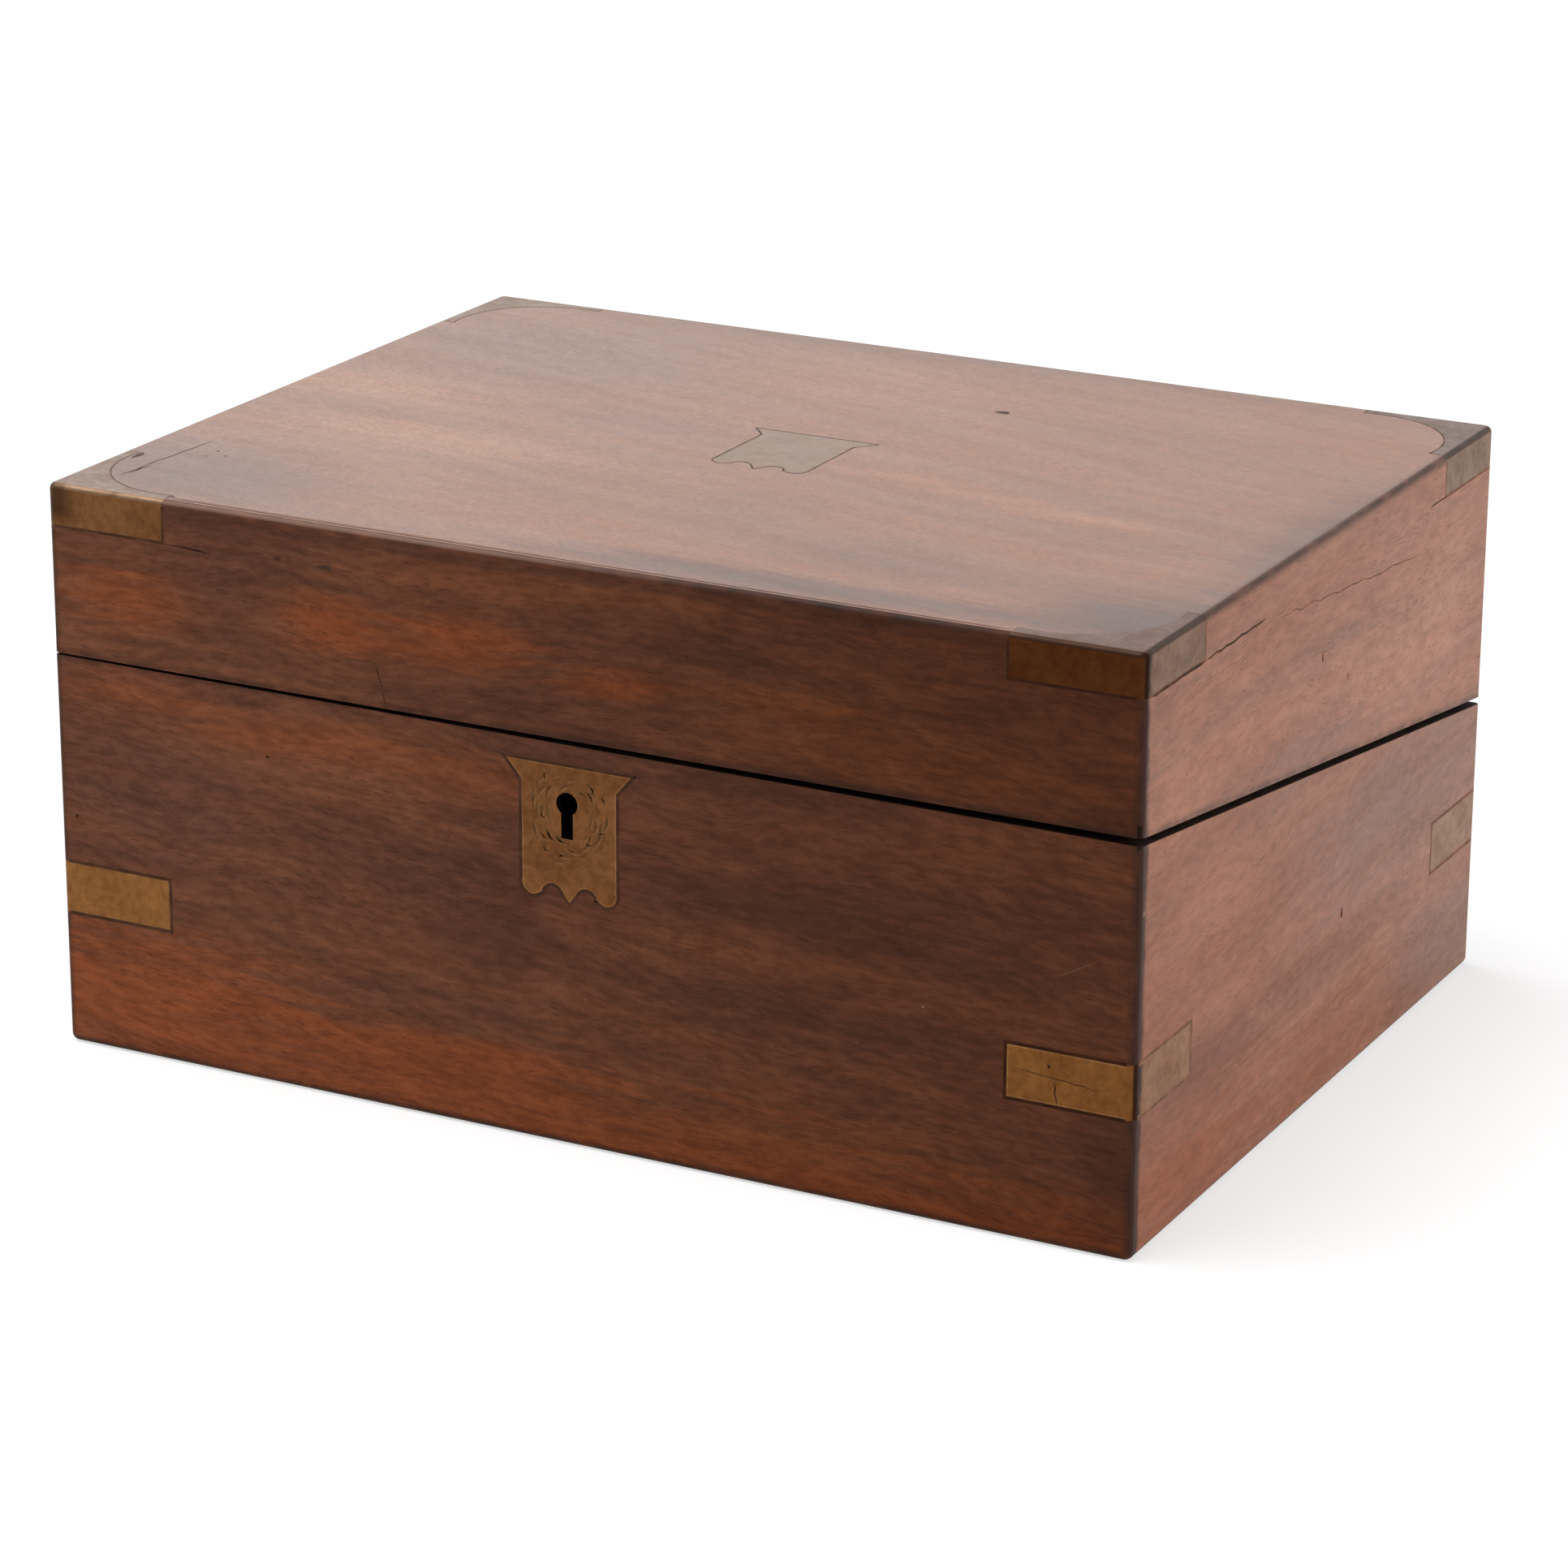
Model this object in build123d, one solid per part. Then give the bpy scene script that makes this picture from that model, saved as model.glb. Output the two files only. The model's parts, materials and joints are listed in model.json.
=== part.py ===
"""Writing slope: a shallow rectangular hardwood box that parts on a slope.

The base holds a trough for pens and inkwells behind the lock, and a paper room
under a hinged flap. The lid turns over the rear edge by half a turn, so that its
rim carries on the slope of the base rim, and it holds a second room and flap.
Millimetres. X runs to the right and -Y to the front, where the lock is. The
origin is the middle of the underside of the base, and the box is shut.
"""
from build123d import *
import math
import os

# ---------------------------------------------------------------- carcase
width = 304.8
depth = 228.6
height = 152.4
wall = 9.0                # thickness of the eight frame boards
top_board = 11.2          # thickness of the lid's top board
bottom_board = 6.0
corner_round = 2.2        # upright corners
top_round = 1.8           # upper arris of the lid
bottom_round = 2.1        # lower arris of the base

# ---------------------------------------------------------------- parting line
rear_rise = 0.5           # lid's rim at the rear face, above half the height
fall = 30.6               # of the lid's rim, from front to rear
gap_left = 0.6            # the base rim has shrunk away, more to the right
gap_right = 2.0

# ---------------------------------------------------------------- brass corners
brass_t = 1.4             # thickness of plates and straps
plate_leg = 35.0          # legs of the lid's corner plates
plate_tip = 5.0           # width of a plate's leg at its tip
plate_throat = 12.0       # inset of the hollow curve on the diagonal
strap_leg = 33.5          # legs of the base's corner straps
strap_height = 14.0
strap_rise = 36.5         # underside of the straps above the ground
pin_r = 0.75
pin_length = 7.0
pin_inset = 14.4          # from the corner
spandrel_pin_inset = 7.5

# ---------------------------------------------------------------- banner plates
banner_t = 1.0
banner_width = 36.2       # across the flared tips
banner_waist = 27.2
banner_flare = 5.35       # height of the flared part
banner_flare_bow = 0.4
banner_side = 31.0        # from the top edge to where the feet begin
banner_foot = 35.2        # to the bottom of a foot
banner_notch = 31.5       # to the crown of a notch
banner_point = 36.2       # to the middle point
foot_x = 9.9              # where a foot's round ends
foot_inner_x = 7.6
notch_x = 4.85
point_side_x = 2.3
foot_knee_drop = 1.1
escutcheon_x = -0.4
escutcheon_drop = 6.7     # its top edge below the lid's rim
cartouche_y = 18.5        # top edge of the vacant plate on the lid

# ---------------------------------------------------------------- keyhole
keyhole_x = -0.9
keyhole_drop = 9.9        # below the escutcheon's top edge
keyhole_r = 3.0
key_slot = 3.3
key_slot_reach = 9.1      # from the round's middle down

# ---------------------------------------------------------------- lock
lock_half = 28.0          # half length of the back plate
lock_height = 33.3        # from the lid's rim down
back_plate_t = 1.2
edge_plate_half = 33.0    # half length of the plate let into the rim
edge_plate_t = 1.6
board_skin = 2.0          # wood left in front of the case
case_half = 24.0
case_rise = 3.0           # case above the back plate's foot
case_wall = 1.0
bolt_t = 1.2
bolt_height = 4.5
bolt_throw = 5.0
bolt_play = 0.6           # from the fingers up to the edge plate
finger_height = 2.4
finger_spare = 0.2        # finger beyond the throw, up to its post
finger_post = 3.0
finger_end_gap = 0.4
bolt_tail = 1.5           # bar left of the first post
bolt_nose = 4.5           # bar right of the second finger
talon_width = 4.0
talon_depth = 2.2
eye_middle = 1.0          # the two eyes lie either side of this
eye_spacing = 22.0
eye_t = 2.0
eye_width = 3.4
eye_side = 0.8
eye_foot = 1.6
eye_play = 0.4
eye_swing = 0.9           # extra room behind, for the lid's arc
slot_play = 0.5
guide_height = 1.5
guide_play = 0.3
guide_reach = 15.0        # length of each guide from the case's side
lever_t = 1.2
lever_play = 0.3
lever_height = 3.0
lever_pivot_x = -18.0
lever_pivot_drop = 3.0
lever_eye_r = 2.4
lever_post_r = 1.1
lever_tip_x = 8.0
spring_t = 0.4
spring_rise = 3.6
spring_reach = 9.5

# ---------------------------------------------------------------- main hinges
hinge_x = 92.0
hinge_length = 46.0
hinge_leaf_t = 1.3
hinge_out = 0.8           # axis behind the rear face
knuckle_r = 2.3
knuckle_count = 5
knuckle_gap = 0.3
hinge_pin_r = 0.9
pin_play = 0.05
scoop_play = 0.4
hinge_end_play = 0.3

# ---------------------------------------------------------------- screws
screw_head_r = 2.1
screw_shank_r = 1.1
screw_length = 8.0
screw_slot = 0.6
screw_slot_depth = 0.5
hinge_screw_pitch = 12.0
hinge_screw_count = 4     # along one leaf
lock_screw_length = 5.0
lock_screw_inset = 3.0
plate_screw_length = 7.0

# ---------------------------------------------------------------- trough
trough_width = 41.0       # front to back
partition_t = 8.0
lip_t = 4.2               # front part of the partition, level with the flap
trough_drop = 12.3        # its top below the lid's rim at the front
trough_depth = 41.0
trough_floor_t = 4.0
well_length = 42.0
well_wall_t = 5.0
notch_r = 9.0             # finger notches
notch_place = 62.0
notch_depth = 7.0
lid_notch_bite = 4.0

# ---------------------------------------------------------------- pen tray
tray_play = 0.5
tray_height = 14.0
tray_ledge_t = 4.0
tray_ledge_width = 6.0
tray_scoop_r = 19.0
tray_scoop_depth = 9.0
tray_rim = 3.0
nib_box_length = 24.0
tray_bar = 4.0            # between the scoop and the nib box
nib_box_depth = 9.0

# ---------------------------------------------------------------- inkwells
inkwell_side = 38.0
inkwell_body = 30.0
inkwell_corner = 3.0
inkwell_neck_r = 11.5
inkwell_neck_height = 7.0
inkwell_bore_r = 12.5
inkwell_bore_floor = 5.0
inkwell_mouth_r = 8.3
inkwell_shoulder = 3.0    # glass above the reservoir
cap_wall = 2.6
cap_play = 0.3
cap_flutes = 32
cap_flute_r = 0.5
cap_crown = 1.5
cap_knurl_margin = 2.0

# ---------------------------------------------------------------- flaps
base_flap_drop = 2.6      # base flap's face below the lid's rim plane
lid_flap_sink = 0.8       # lid flap's face inside the lid's rim plane
flap_t = 5.5
flap_side_play = 0.6
flap_end_play = 0.5
leather_t = 0.8
leather_border = 11.0
ledge_width = 5.0
ledge_height = 6.0
ledge_play = 0.3
rail_width = 9.0
rail_height = 10.0

# ---------------------------------------------------------------- flap hinges
base_flap_hinge_x = 96.0
lid_flap_hinge_x = 60.0
small_length = 22.0
small_leaf_t = 1.0
small_leaf_height = 5.0
small_knuckle_r = 1.5
small_knuckle_count = 3
small_pin_r = 0.6
small_gap = 0.25          # half the gap between flap and rail
small_scoop = 0.3

# ---------------------------------------------------------------- turn button
catch_length = 18.0
catch_width = 4.0
catch_t = 1.2
catch_play = 0.3
catch_head_r = 1.9
catch_head_t = 0.7
catch_shank_r = 0.8
catch_shank_length = 9.0
catch_bore_play = 0.05

# ---------------------------------------------------------------- derived
half_w = width / 2
half_d = depth / 2
room_w = half_w - wall
room_d = half_d - wall
lid_room_top = height - top_board
split_rear = height / 2 + rear_rise
split_front = split_rear + fall
slope = math.atan2(fall, depth)
rise_run = math.tan(slope)
gap_taper = (gap_right - gap_left) / width
far = 2 * (width + depth + height)
over = 1.0                # how far cutting shapes run past a face

up = Vector(0, math.sin(slope), math.cos(slope))
lid_rim = Plane(origin=(0, half_d, split_rear), x_dir=(-1, 0, 0), z_dir=up)
lid_face = Plane(origin=(0, half_d, split_rear), x_dir=(1, 0, 0), z_dir=-up)
base_flap_face = lid_rim.offset(-base_flap_drop)
base_rim = Plane(
    origin=(0, half_d, split_rear - (gap_left + gap_right) / 2),
    x_dir=(-1, 0, gap_taper),
    z_dir=(gap_taper, rise_run, 1),
)

hinge_y = half_d + hinge_out
hinge_z = height / 2

partition_front = -room_d + trough_width
partition_rear = partition_front + partition_t
lip_rear = partition_front + lip_t
well_inner = room_w - well_length
tray_half = well_inner - well_wall_t

escutcheon_top = split_front - escutcheon_drop
keyhole_z = escutcheon_top - keyhole_drop
key_slot_bottom = keyhole_z - key_slot_reach
lock_bottom = split_front - lock_height
case_bottom = lock_bottom + case_rise
trough_top_z = split_front - trough_drop
trough_floor_z = trough_top_z - trough_depth

case_front = -half_d + board_skin
case_inner = case_front + case_wall
plate_front = -room_d - back_plate_t


def rim_spot(rim, x, y):
    """The place on a rim plane at a point of the plan, turned as the plane is."""
    lean = rim.z_dir.X * (x - rim.origin.X) + rim.z_dir.Y * (y - rim.origin.Y)
    z = rim.origin.Z - lean / rim.z_dir.Z
    return Plane(origin=(x, y, z), x_dir=rim.x_dir, z_dir=rim.z_dir)


lock_top = rim_spot(base_rim, edge_plate_half, -room_d).origin.Z - edge_plate_t / math.cos(slope)
eye_y = case_inner + eye_play + eye_width / 2
finger_z1 = lock_top - bolt_play
finger_z0 = finger_z1 - finger_height
eye_hole_z0 = finger_z0 - eye_play
eye_hole_z1 = finger_z1 + eye_play
eye_bottom = eye_hole_z0 - eye_foot
finger_length = bolt_throw + finger_spare
bolt_z1 = eye_bottom - eye_play
bolt_z0 = bolt_z1 - bolt_height
eye_places = [eye_middle - eye_spacing / 2, eye_middle + eye_spacing / 2]
lever_y0 = eye_y + bolt_t / 2 + lever_play

cap_r = inkwell_neck_r + cap_play + cap_wall
cap_height = inkwell_neck_height + cap_wall

catch_x = 0.0
catch_y = (partition_front + lip_rear) / 2

parts = {}


# ---------------------------------------------------------------- helpers
def brick(x0, x1, y0, y1, z0, z1):
    """A plain box between two corners."""
    middle = Pos((x0 + x1) / 2, (y0 + y1) / 2, (z0 + z1) / 2)
    return middle * Box(x1 - x0, y1 - y0, z1 - z0)


def below(plane, drop=0.0):
    """Everything under a plane that is lowered by drop along its normal."""
    return plane.location * Pos(0, 0, -drop - far / 2) * Box(far, far, far)


def above(plane, rise=0.0):
    """Everything over a plane that is raised by rise along its normal."""
    return plane.location * Pos(0, 0, rise + far / 2) * Box(far, far, far)


def rod(radius, x0, x1, y, z):
    """A cylinder that lies along X."""
    return Pos((x0 + x1) / 2, y, z) * Rot(0, 90, 0) * Cylinder(radius, x1 - x0)


def outer_block():
    """The shut box as one block with its worn edges."""
    block = brick(-half_w, half_w, -half_d, half_d, 0, height)
    block = fillet(block.edges().filter_by(Axis.Z), corner_round)
    block = fillet(block.faces().sort_by(Axis.Z)[-1].edges(), top_round)
    return fillet(block.faces().sort_by(Axis.Z)[0].edges(), bottom_round)


def room_core(z0, z1):
    """The space between the four walls."""
    return brick(-room_w, room_w, -room_d, room_d, z0, z1)


def corner_set(piece):
    """The same piece at all four corners, by name."""
    left_rear = piece.mirror(Plane.XZ)
    return {
        "front_left": piece,
        "front_right": piece.mirror(Plane.YZ),
        "rear_left": left_rear,
        "rear_right": left_rear.mirror(Plane.YZ),
    }


def together(solids):
    """Several separate solids as one node."""
    loose = []
    for item in solids:
        loose.extend(item.solids())
    return Compound(loose)


def cut_by(piece, tools):
    """A piece less every tool in a list."""
    for tool in tools:
        piece = piece - tool
    return piece


def wood_screw(length, slotted=True):
    """A countersunk screw with its head at z = 0 and its point downwards."""
    outline = Polyline(
        (0, 0),
        (screw_head_r, 0),
        (screw_shank_r, screw_shank_r - screw_head_r),
        (screw_shank_r, 2 * screw_shank_r - length),
        (0, -length),
        close=True,
    )
    screw = revolve(Plane.XZ * make_face(outline), Axis.Z)
    if slotted:
        screw -= Box(2 * screw_head_r, screw_slot, 2 * screw_slot_depth)
    return screw


# ---------------------------------------------------------------- brass corners
def spandrel_outline():
    """Plan of a corner plate, drawn from the front left corner inwards."""
    tip_a = (plate_leg, plate_tip)
    tip_b = (plate_tip, plate_leg)
    curve = ThreePointArc(tip_a, (plate_throat, plate_throat), tip_b)
    rest = Polyline(tip_b, (-over, plate_leg), (-over, -over), (plate_leg, -over), tip_a)
    return make_face([curve, rest])


def leg_pair(leg, z0, z1):
    """Two upright legs that wrap the front left corner."""
    front = brick(-half_w - over, -half_w + leg, -half_d - over, -half_d + brass_t, z0, z1)
    side = brick(-half_w - over, -half_w + brass_t, -half_d - over, -half_d + leg, z0, z1)
    return front + side


def plate_region():
    """Space that a lid corner plate takes, at the front left corner."""
    corner = Pos(-half_w, -half_d, height - brass_t)
    spandrel = corner * extrude(spandrel_outline(), brass_t + over)
    return spandrel + leg_pair(plate_leg, lid_room_top, height + over)


def strap_region():
    """Space that a base corner strap takes, at the front left corner."""
    return leg_pair(strap_leg, strap_rise, strap_rise + strap_height)


def leg_pins(z):
    """A pin through each leg of the front left corner."""
    front = Pos(-half_w + pin_inset, -half_d + pin_length / 2, z) * Rot(90, 0, 0)
    side = Pos(-half_w + pin_length / 2, -half_d + pin_inset, z) * Rot(0, 90, 0)
    return [front * Cylinder(pin_r, pin_length), side * Cylinder(pin_r, pin_length)]


def plate_pins():
    """Pins of the front left corner plate."""
    spot = Pos(-half_w + spandrel_pin_inset, -half_d + spandrel_pin_inset, height - pin_length / 2)
    return together(leg_pins((lid_room_top + height) / 2) + [spot * Cylinder(pin_r, pin_length)])


def strap_pins():
    """Pins of the front left corner strap."""
    return together(leg_pins(strap_rise + strap_height / 2))


# ---------------------------------------------------------------- banner plates
def banner_outline():
    """A banner with flared tips above and two feet and a point below."""
    tip = banner_width / 2
    waist = banner_waist / 2
    right = [
        Line((0, 0), (tip, 0)),
        ThreePointArc(
            (tip, 0),
            ((tip + waist) / 2 - banner_flare_bow, -banner_flare / 2 - banner_flare_bow),
            (waist, -banner_flare),
        ),
        Line((waist, -banner_flare), (waist, -banner_side)),
        ThreePointArc(
            (waist, -banner_side),
            ((waist + foot_x) / 2 + foot_knee_drop, -banner_foot + foot_knee_drop),
            (foot_x, -banner_foot),
        ),
        Line((foot_x, -banner_foot), (foot_inner_x, -banner_foot + foot_knee_drop)),
        ThreePointArc(
            (foot_inner_x, -banner_foot + foot_knee_drop),
            (notch_x, -banner_notch),
            (point_side_x, -banner_foot + 2 * foot_knee_drop),
        ),
        Line((point_side_x, -banner_foot + 2 * foot_knee_drop), (0, -banner_point)),
    ]
    left = [edge.mirror(Plane.YZ) for edge in right]
    return make_face(right + left)


def keyhole(y0, y1):
    """The keyhole as a cutter between two depths."""
    shaft = Pos(keyhole_x, (y0 + y1) / 2, keyhole_z) * Rot(90, 0, 0) * Cylinder(keyhole_r, y1 - y0)
    half = key_slot / 2
    return shaft + brick(keyhole_x - half, keyhole_x + half, y0, y1, key_slot_bottom, keyhole_z)


# ---------------------------------------------------------------- lock
def rim_strip():
    """Plan of the plates let into the two rims over the lock, full height."""
    return brick(-edge_plate_half, edge_plate_half, case_front, -room_d, 0, height)


def back_plate_region():
    return brick(-lock_half, lock_half, plate_front, -room_d, lock_bottom, height)


def case_region():
    return brick(-case_half, case_half, case_front, plate_front, case_bottom, height)


def edge_plate_region():
    return (rim_strip() & below(base_rim)) - below(base_rim, edge_plate_t)


def lock_plate():
    """Back plate and edge plate in one, with the slots for the lid's eyes."""
    back = back_plate_region() & below(base_rim, edge_plate_t)
    plate = back + edge_plate_region()
    for x in eye_places:
        half = eye_t / 2 + slot_play
        y0 = eye_y - eye_width / 2 - eye_play
        y1 = eye_y + eye_width / 2 + eye_swing
        plate -= brick(x - half, x + half, y0, y1, lock_top - over, height)
    post_y = (lever_y0 + plate_front) / 2
    post = Pos(lever_pivot_x, post_y, bolt_z1 - lever_pivot_drop) * Rot(90, 0, 0)
    return plate + post * Cylinder(lever_post_r, plate_front - lever_y0)


def lock_case():
    """The open case behind the board's skin, with the guides that carry the bolt."""
    lid_line = below(base_rim, edge_plate_t)
    shell = case_region() & lid_line
    inner = case_half - case_wall
    shell -= brick(-inner, inner, case_inner, plate_front + over, case_bottom + case_wall, height)
    guide_y = eye_y + bolt_t / 2
    guide_z = bolt_z0 - guide_play
    for side in (-1, 1):
        ends = sorted([side * inner, side * (inner - guide_reach)])
        shell += brick(ends[0], ends[1], case_inner, guide_y, guide_z - guide_height, guide_z)
    return shell - keyhole(case_front - over, case_inner + over)


def lock_bolt():
    """A sliding bar with two posts whose fingers shoot through the eyes."""
    y0 = eye_y - bolt_t / 2
    y1 = eye_y + bolt_t / 2
    reach = eye_t / 2 + finger_end_gap
    first = eye_places[0] - reach - finger_length - finger_post
    last = eye_places[1] - reach
    bolt = brick(first - bolt_tail, last + bolt_nose, y0, y1, bolt_z0, bolt_z1)
    for x in eye_places:
        tip = x - reach
        root = tip - finger_length
        bolt += brick(root - finger_post, root, y0, y1, bolt_z1 - over, finger_z1)
        bolt += brick(root - over, tip, y0, y1, finger_z0, finger_z1)
    half = talon_width / 2
    return bolt - brick(keyhole_x - half, keyhole_x + half, y0, y1, bolt_z0, bolt_z0 + talon_depth)


def lock_lever():
    """A flat lever that drops behind the bolt, pivoted at its left end."""
    pivot_z = bolt_z1 - lever_pivot_drop
    y1 = lever_y0 + lever_t
    arm = brick(lever_pivot_x, lever_tip_x, lever_y0, y1, bolt_z1 - lever_height, bolt_z1)
    ring = Pos(lever_pivot_x, (lever_y0 + y1) / 2, pivot_z) * Rot(90, 0, 0)
    lever = arm + ring * Cylinder(lever_eye_r, lever_t)
    return lever - ring * Cylinder(lever_post_r, 2 * lever_t)


def lock_spring():
    """A flat spring from the case's side down on to the lever."""
    wall_x = -case_half + case_wall
    y_mid = lever_y0 + lever_t / 2
    strip = Polyline(
        (wall_x, bolt_z1 + spring_rise),
        (wall_x + spring_reach, bolt_z1),
        (wall_x + spring_reach, bolt_z1 + spring_t),
        (wall_x, bolt_z1 + spring_rise + spring_t),
        close=True,
    )
    leaf = extrude(Plane.XZ * make_face(strip), lever_t / 2, both=True)
    return Pos(0, y_mid, 0) * leaf


def edge_screw_spots(rim):
    """Where the two screws of a rim plate go, as locations on that rim."""
    y = (case_front - room_d) / 2
    x = edge_plate_half - lock_screw_inset
    return [rim_spot(rim, s * x, y).location for s in (-1, 1)]


def back_screw_spots():
    """Where the two screws of the back plate go, pointing to the front."""
    x = (lock_half + case_half) / 2
    z = (lock_bottom + lock_top) / 2
    return [Pos(s * x, -room_d, z) * Rot(-90, 0, 0) for s in (-1, 1)]


def link_plate():
    """The lid's plate with its two eyes, which hang into the lock."""
    plate = (rim_strip() & above(lid_rim)) - above(lid_rim, edge_plate_t)
    for x in eye_places:
        half = eye_t / 2
        y0 = eye_y - eye_width / 2
        y1 = eye_y + eye_width / 2
        eye = brick(x - half, x + half, y0, y1, eye_bottom, height) & below(lid_rim, -edge_plate_t / 2)
        inner = eye_width / 2 - eye_side
        hole = brick(x - eye_t, x + eye_t, eye_y - inner, eye_y + inner, eye_hole_z0, eye_hole_z1)
        plate += eye - hole
    return plate


# ---------------------------------------------------------------- main hinges
def knuckle_spans(x, length, count):
    """The stretches of a hinge's knuckles along X."""
    pitch = length / count
    start = x - length / 2
    return [(start + i * pitch, start + (i + 1) * pitch) for i in range(count)]


def hinge_scoop(x, length):
    """Room cut in the boards for a main hinge's knuckles."""
    half = length / 2 + hinge_end_play
    return rod(knuckle_r + scoop_play, x - half, x + half, hinge_y, hinge_z)


def leaf_region(x, slab):
    """The space of one hinge leaf on a rim."""
    half = hinge_length / 2
    return brick(x - half, x + half, room_d, hinge_y, 0, height) & slab


def main_leaf(x, slab, mine):
    """A hinge leaf with its own knuckles, and room for the other leaf's."""
    leaf = leaf_region(x, slab)
    spans = knuckle_spans(x, hinge_length, knuckle_count)
    for i, (x0, x1) in enumerate(spans):
        if i % 2 != mine:
            leaf -= rod(knuckle_r + scoop_play, x0, x1, hinge_y, hinge_z)
    for i, (x0, x1) in enumerate(spans):
        if i % 2 == mine:
            start = x0 if i == 0 else x0 + knuckle_gap / 2
            end = x1 if i == knuckle_count - 1 else x1 - knuckle_gap / 2
            leaf += rod(knuckle_r, start, end, hinge_y, hinge_z)
    bore = rod(hinge_pin_r + pin_play, x - hinge_length, x + hinge_length, hinge_y, hinge_z)
    return leaf - bore


def hinge_screw_spots(rim, x):
    """Screw places along one leaf, on the rim the leaf is let into."""
    y = half_d - wall / 2
    first = x - hinge_screw_pitch * (hinge_screw_count - 1) / 2
    return [rim_spot(rim, first + i * hinge_screw_pitch, y).location for i in range(hinge_screw_count)]


# ---------------------------------------------------------------- flaps
class Flap:
    """Sizes of one flap in its own frame: y runs from the rear face to the
    front along the slope, and z points out of the room it closes."""

    def __init__(self, plane, level, lean, front_y, knuckle_x):
        self.plane = plane
        self.level = level
        self.knuckle_x = knuckle_x
        self.axis_y = (wall + rail_width) / math.cos(slope) + small_gap
        self.under = level + flap_t
        shift = min(-lean * math.sin(slope) * deep for deep in (level, self.under))
        run = half_d - front_y - flap_end_play + shift
        self.end_y = run / math.cos(slope)

    def place(self, piece):
        return self.plane.location * piece

    def board_region(self):
        half = room_w - flap_side_play
        return brick(-half, half, self.axis_y + small_gap, self.end_y, -self.under, -self.level)

    def leather_region(self):
        half = room_w - flap_side_play - leather_border
        y0 = self.axis_y + small_gap + leather_border
        y1 = self.end_y - leather_border
        return brick(-half, half, y0, y1, -self.level - leather_t, -self.level)

    def rail_region(self):
        y1 = self.axis_y - small_gap
        return brick(-room_w, room_w, 0, y1, -self.level - rail_height, -self.level)

    def side_ledges(self):
        top = -self.under - ledge_play
        y0 = self.axis_y - small_gap
        inner = room_w - ledge_width
        bottom = top - ledge_height
        left = brick(-room_w - over, -inner, y0, depth, bottom, top)
        right = brick(inner, room_w + over, y0, depth, bottom, top)
        return left, right

    def scoops(self):
        """Room for the knuckles in both flap and rail."""
        half = small_length / 2 + small_scoop
        radius = small_knuckle_r + small_scoop
        return [rod(radius, s * self.knuckle_x - half, s * self.knuckle_x + half, self.axis_y, -self.level)
                for s in (-1, 1)]

    def leaf_slab(self, side, x):
        """The upright plate of a small leaf; side -1 lies on the rail, +1 on the flap."""
        inner = self.axis_y + side * small_gap
        ends = sorted([inner, inner + side * small_leaf_t])
        half = small_length / 2
        z0 = -self.level - small_leaf_height
        return brick(x - half, x + half, ends[0], ends[1], z0, -self.level)

    def leaf(self, side, x):
        """A small leaf with its knuckles."""
        leaf = self.leaf_slab(side, x)
        spans = knuckle_spans(x, small_length, small_knuckle_count)
        mine = 0 if side < 0 else 1
        for i, (x0, x1) in enumerate(spans):
            if i % 2 != mine:
                leaf -= rod(small_knuckle_r + small_scoop, x0, x1, self.axis_y, -self.level)
        for i, (x0, x1) in enumerate(spans):
            if i % 2 == mine:
                start = x0 if i == 0 else x0 + knuckle_gap / 2
                end = x1 if i == small_knuckle_count - 1 else x1 - knuckle_gap / 2
                leaf += rod(small_knuckle_r, start, end, self.axis_y, -self.level)
        reach = small_length
        return leaf - rod(small_pin_r + pin_play, x - reach, x + reach, self.axis_y, -self.level)

    def pin(self, x):
        half = small_length / 2
        return rod(small_pin_r, x - half, x + half, self.axis_y, -self.level)

    def sides(self):
        return (-self.knuckle_x, self.knuckle_x)

    def make(self, name, room):
        """Board, leather, rail, ledges and hinges of this flap."""
        slabs = [self.leaf_slab(side, x) for side in (-1, 1) for x in self.sides()]
        board = cut_by(self.board_region(), self.scoops() + slabs) - self.leather_region()
        rail = cut_by(self.rail_region(), self.scoops() + slabs)
        parts[name + "_flap"] = self.place(board)
        parts[name + "_flap_leather"] = self.place(self.leather_region())
        parts[name + "_hinge_rail"] = self.place(rail) & room
        parts[name + "_flap_ledges"] = together([self.place(one) & room for one in self.side_ledges()])
        for side, word in ((-1, "fixed"), (1, "moving")):
            leaves = [self.place(self.leaf(side, x)) for x in self.sides()]
            parts[name + "_flap_hinge_" + word] = together(leaves)
        parts[name + "_flap_hinge_pins"] = together([self.place(self.pin(x)) for x in self.sides()])


# ---------------------------------------------------------------- fittings
def pen_tray():
    """A lift-out tray with a long scoop and a square box for nibs."""
    half = tray_half - tray_play
    y0 = -room_d + tray_play
    y1 = partition_front - tray_play
    z0 = trough_top_z - tray_height
    tray = brick(-half, half, y0, y1, z0, trough_top_z)
    scoop_end = half - tray_rim - nib_box_length - tray_bar
    middle_y = (y0 + y1) / 2
    scoop_z = trough_top_z - tray_scoop_depth + tray_scoop_r
    scoop = rod(tray_scoop_r, -half + tray_rim, scoop_end, middle_y, scoop_z)
    box_x0 = half - tray_rim - nib_box_length
    box = brick(box_x0, half - tray_rim, y0 + tray_rim, y1 - tray_rim, trough_top_z - nib_box_depth, height)
    return tray - scoop - box


def inkwell_middle(side):
    """Plan position of an inkwell."""
    return side * (room_w - well_length / 2), -room_d + trough_width / 2


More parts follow.
